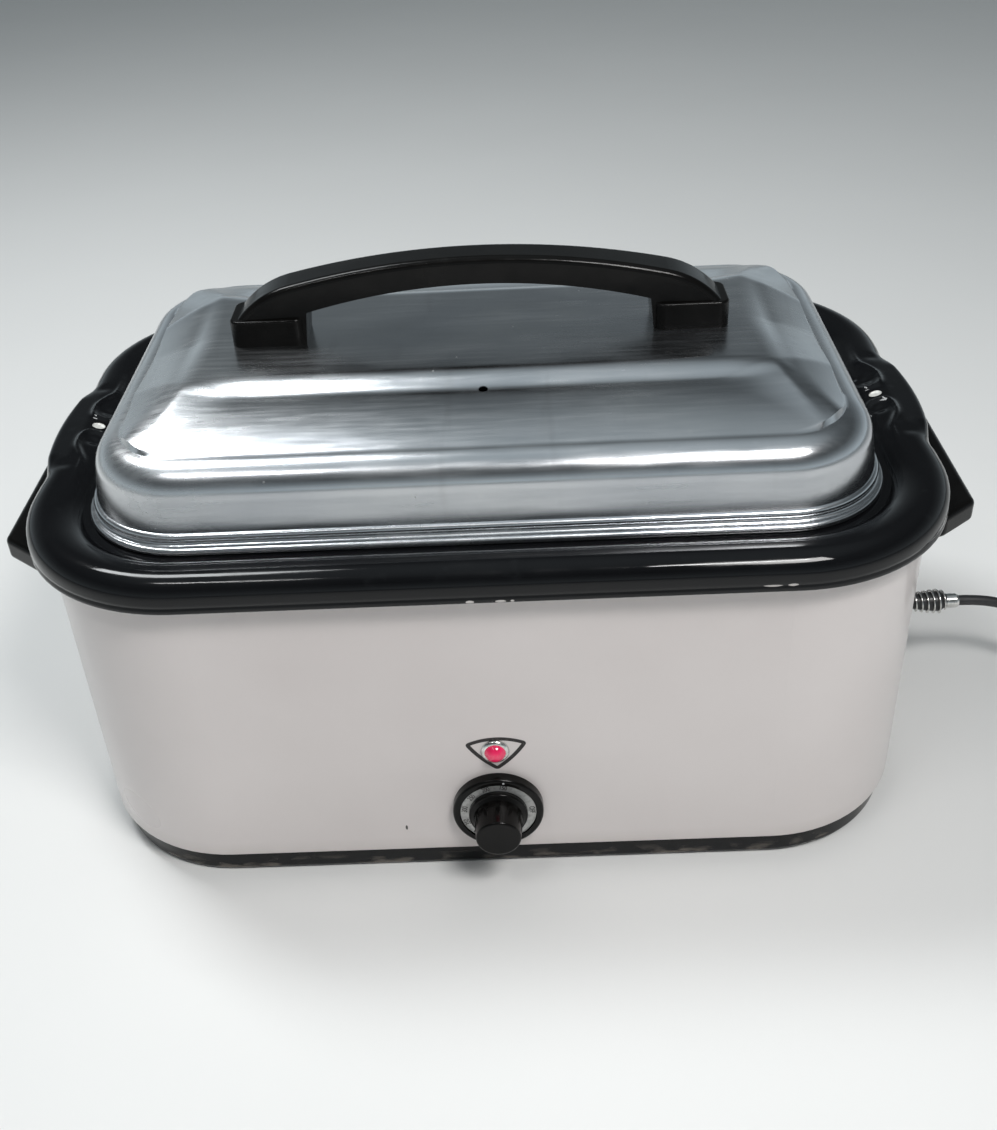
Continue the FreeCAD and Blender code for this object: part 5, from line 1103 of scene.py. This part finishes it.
def rim_sections(thin):
    """The rim's section, plain and at a lug, as matching lists, and the fall behind both.

    thin is 0 for the outer skin, or the sheet's thickness for the inner one.
    """
    roll = RIM_ROLL - thin
    lip_top = LIP_SECTION[-1][1]
    if thin:
        plain = [Vector((thin + LIP_SECTION[0][0], LIP_SECTION[0][1]))]
        plain += run((thin, INNER_LIP_FOOT), (thin, lip_top), 7)
    else:
        plain = [Vector(point) for point in LIP_SECTION]
    plain += bow((thin, lip_top), (RIM_ROLL, lip_top + roll), -roll, 14)
    edge = thin - LUG_REACH
    edge_low, edge_high = LUG_EDGE
    lug_top = (thin - LUG_TOP[0], LUG_TOP[1] - thin)
    top = (RIM_ROLL, RIM_TOP - thin)
    lug = [Vector((thin - LUG_FOOT[0], LUG_FOOT[1]))]
    lug += run((edge, edge_low), (edge, edge_high), 7)
    lug += bow((edge, edge_high), lug_top, -LUG_EDGE_RADIUS, 6)
    lug += run(lug_top, top, 8)
    back = bow(top, (LEDGE[0], LEDGE[1] - thin), -(BACK_RADIUS - thin), 26)
    return plain, lug, back


def inner_section(thin, ledge_steps, edge_steps, wall_levels):
    """The section from the ledge down the wall to the floor."""
    ledge = LEDGE[1] - thin
    edge = EDGE_RADIUS - thin
    wall = LEDGE_END + edge
    floor = PAN_FLOOR - thin
    bend = FLOOR_RADIUS + thin
    section = run((LEDGE[0], ledge), (LEDGE_END, ledge), ledge_steps)
    section += bow((LEDGE_END, ledge), (wall, ledge - edge), -edge, edge_steps)
    section += [Vector((wall, level)) for level in (*wall_levels, floor + bend)]
    section += bow((wall, floor + bend), (wall + bend, floor), bend, 8)
    section += [Vector((inset, floor)) for inset in FLOOR_INSETS]
    return section


def pan_outline(inset):
    return rounded_outline(
        (RIM_HALF[0] - inset) * MM,
        (RIM_HALF[1] - inset) * MM,
        max(LEAST_CORNER, RIM_CORNER - inset) * MM,
        *PAN_POINTS,
    )


def pan_ring(inset, level, embossed=False):
    found = []
    for p, _ in pan_outline(inset):
        lift = emboss(p.x / MM, p.y / MM) if embossed else 0.0
        found.append((p.x, p.y, (level + lift) * MM))
    return found


def lug_ring(plain, lug, share_in):
    """One ring of the rim's outer part, which opens out into a lug at each end.

    share_in goes from 0 at the lip's foot to 1 on the rim's top.
    """
    found = []
    depth, bow_reach, bow_end = LUG_BOW
    notch_depth, notch_place, notch_width = NOTCH
    bow_share = smooth_step((1 - share_in) / LUG_BOW_SHARE)
    for p, normal in pan_outline(plain.x):
        along = abs(p.y) / MM
        at_end = abs(p.x) / MM > LUGS_FROM
        share = smooth_step((LUG_END - along) / LUG_FADE) if at_end else 0.0
        bow_in = depth * (min(along, bow_end) / bow_reach) ** 2 * share * bow_share
        notch = bulge(along - notch_place, notch_depth, notch_width) if at_end else 0.0
        move = ((lug.x - plain.x) * share + bow_in + notch * (1 - share_in)) * MM
        level = plain.y + (lug.y - plain.y) * share
        x = p.x - normal.x * move
        y = p.y - normal.y * move
        found.append((x, y, (level + emboss(x / MM, y / MM)) * MM))
    return found


def pan_skin(thin, *steps):
    """The rings of one side of the sheet, from the lip's foot to the middle of the floor."""
    plain, lug, back = rim_sections(thin)
    last = len(plain) - 1
    rings = [lug_ring(plain[index], lug[index], index / last) for index in range(last + 1)]
    rings += [pan_ring(p.x, p.y, embossed=True) for p in back]
    rings += [pan_ring(p.x, p.y) for p in inner_section(thin, *steps)]
    return rings


def make_inset_pan():
    """The deep pan as one closed sheet, with a hole in each lug."""
    top = pan_skin(0.0, 4, 5, (215.0, 190.0, 160.0, 130.0))
    under = pan_skin(PAN_SHEET, 1, 3, (190.0, 140.0))
    vertices, faces = skin_rings(under[::-1] + top, cap_both=True)
    pan = new_piece("inset_pan_form", vertices, faces, BLACK, "inset_pan_body")
    cut_round_holes(pan, ((LUG_HOLE, 0.0), (-LUG_HOLE, 0.0)), LUG_HOLE_RADIUS, *LUG_DRILL)
    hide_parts("inset_pan")
    return pan


# A lug's eyelet: (radius, lift above the lug) from its rim to its bottom.
EYELET_SECTION = (
    (4.7, -0.25), (4.6, 0.12), (4.25, 0.22), (3.8, 0.05), (3.55, -0.45), (3.1, -0.75),
    (1.6, -0.85),
)
EYELET_SIDES = 32
EYELET_PROBE = 6.2
PROBE_FROM = 300.0


def make_eyelet(pan, name, side):
    """A shallow plated cup pressed into the hole of one lifting lug, tilted as the lug is."""
    middle = side * LUG_HOLE
    bpy.context.view_layer.update()
    levels = []
    for shift in (-EYELET_PROBE, EYELET_PROBE):
        start = Vector((middle + shift, 0, PROBE_FROM)) * MM
        _, place, _, _ = pan.ray_cast(start, Vector((0, 0, -1)))
        levels.append(place.z / MM)
    level = sum(levels) / 2
    slope = (levels[1] - levels[0]) / (2 * EYELET_PROBE)
    rings = []
    for radius, lift in EYELET_SECTION:
        section = circle(radius, EYELET_SIDES)
        rings.append(
            [((middle + x) * MM, y * MM, (level + lift + slope * x) * MM) for x, y in section]
        )
    vertices, faces = skin_rings(rings)
    new_piece(name, vertices, faces, EYELET, "inset_pan_body")


make_lid_shell()
pan_form = make_inset_pan()
make_eyelet(pan_form, "right_lug_eyelet", 1)
make_eyelet(pan_form, "left_lug_eyelet", -1)


# -------- camera, floor and light

# The camera comes from a least-squares fit of outline points to the photo.
CAMERA_TARGET = Vector((0.0037, 0.0, 0.11543))
CAMERA_DISTANCE = 0.92775
CAMERA_YAW = math.radians(1.41)
CAMERA_PITCH = math.radians(34.77)
CAMERA_ROLL = math.radians(-3.04)
FOCAL_PIXELS = 1289.8
IMAGE_HEIGHT = 1130
SENSOR = 36.0
FLOOR_HALF = 6.0

# The sky's level at each height, which is the sine of the elevation, and its tint.
SKY = ((0.0, 0.52), (0.28, 0.20), (0.5, 0.06), (0.75, 0.11), (0.9, 0.30), (1.0, 0.42))
SKY_TINT = (0.88, 1.0, 1.06)


def make_camera():
    back = Vector(
        (
            math.sin(CAMERA_YAW) * math.cos(CAMERA_PITCH),
            -math.cos(CAMERA_YAW) * math.cos(CAMERA_PITCH),
            math.sin(CAMERA_PITCH),
        )
    )
    level_right = (-back).cross(Vector((0, 0, 1))).normalized()
    level_up = level_right.cross(-back)
    right = math.cos(CAMERA_ROLL) * level_right + math.sin(CAMERA_ROLL) * level_up
    up = -math.sin(CAMERA_ROLL) * level_right + math.cos(CAMERA_ROLL) * level_up
    data = bpy.data.cameras.new("camera")
    data.sensor_width = SENSOR
    data.lens = FOCAL_PIXELS / IMAGE_HEIGHT * SENSOR
    data.clip_start = 0.01
    camera = add_object("camera", data)
    turn = Matrix((right, up, back)).transposed().to_4x4()
    camera.matrix_world = Matrix.Translation(CAMERA_TARGET + CAMERA_DISTANCE * back) @ turn
    bpy.context.scene.camera = camera


def make_floor():
    mesh = bpy.data.meshes.new("floor")
    corners = [
        (x * FLOOR_HALF, y * FLOOR_HALF, 0) for x, y in ((-1, -1), (1, -1), (1, 1), (-1, 1))
    ]
    mesh.from_pydata(corners, [], [(0, 1, 2, 3)])
    mesh.materials.append(floor_finish())
    floor = add_object("floor", mesh)


def make_world():
    """Soft light all round: brightest at the horizon, dark half way up and paler overhead."""
    world = bpy.data.worlds.new("studio")
    world.use_nodes = True
    tree = world.node_tree
    coordinates = tree.nodes.new("ShaderNodeTexCoord")
    split = tree.nodes.new("ShaderNodeSeparateXYZ")
    ramp = tree.nodes.new("ShaderNodeValToRGB")
    tree.links.new(coordinates.outputs["Generated"], split.inputs["Vector"])
    tree.links.new(split.outputs["Z"], ramp.inputs["Fac"])
    stops = ramp.color_ramp.elements
    while len(stops) < len(SKY):
        stops.new(0.5)
    for stop, (place, level) in zip(stops, SKY):
        stop.position = place
        stop.color = (*(level * channel for channel in SKY_TINT), 1)
    background = tree.nodes["Background"]
    tree.links.new(ramp.outputs["Color"], background.inputs["Color"])
    background.inputs["Strength"].default_value = 1.0
    bpy.context.scene.world = world


def area_light(name, place, aim, size, power, colour=(1, 1, 1)):
    data = bpy.data.lights.new(name, "AREA")
    data.shape = "RECTANGLE"
    data.size, data.size_y = size
    data.energy = power
    data.color = colour
    light = add_object(name, data)
    light.location = place
    light.rotation_mode = "QUATERNION"
    light.rotation_quaternion = (Vector(aim) - Vector(place)).to_track_quat("-Z", "Y")


make_camera()
make_floor()
make_world()
area_light("left", (-0.80, 0.44, 1.88), (-0.10, 0.0, 0.2), (0.42, 0.90), 21.5, (0.96, 0.99, 1.0))
area_light("right", (0.60, -0.98, 1.62), (0.05, -0.05, 0.2), (0.55, 0.46), 16.5, (1.0, 0.985, 0.97))
area_light("right_tube", (0.40, -0.86, 1.48), (0, -0.1, 0.2), (0.36, 0.03), 2.4)
area_light("left_tube", (-0.56, -0.78, 1.66), (0, -0.1, 0.2), (0.46, 0.03), 2.4)

bpy.context.scene.view_settings.view_transform = "Standard"
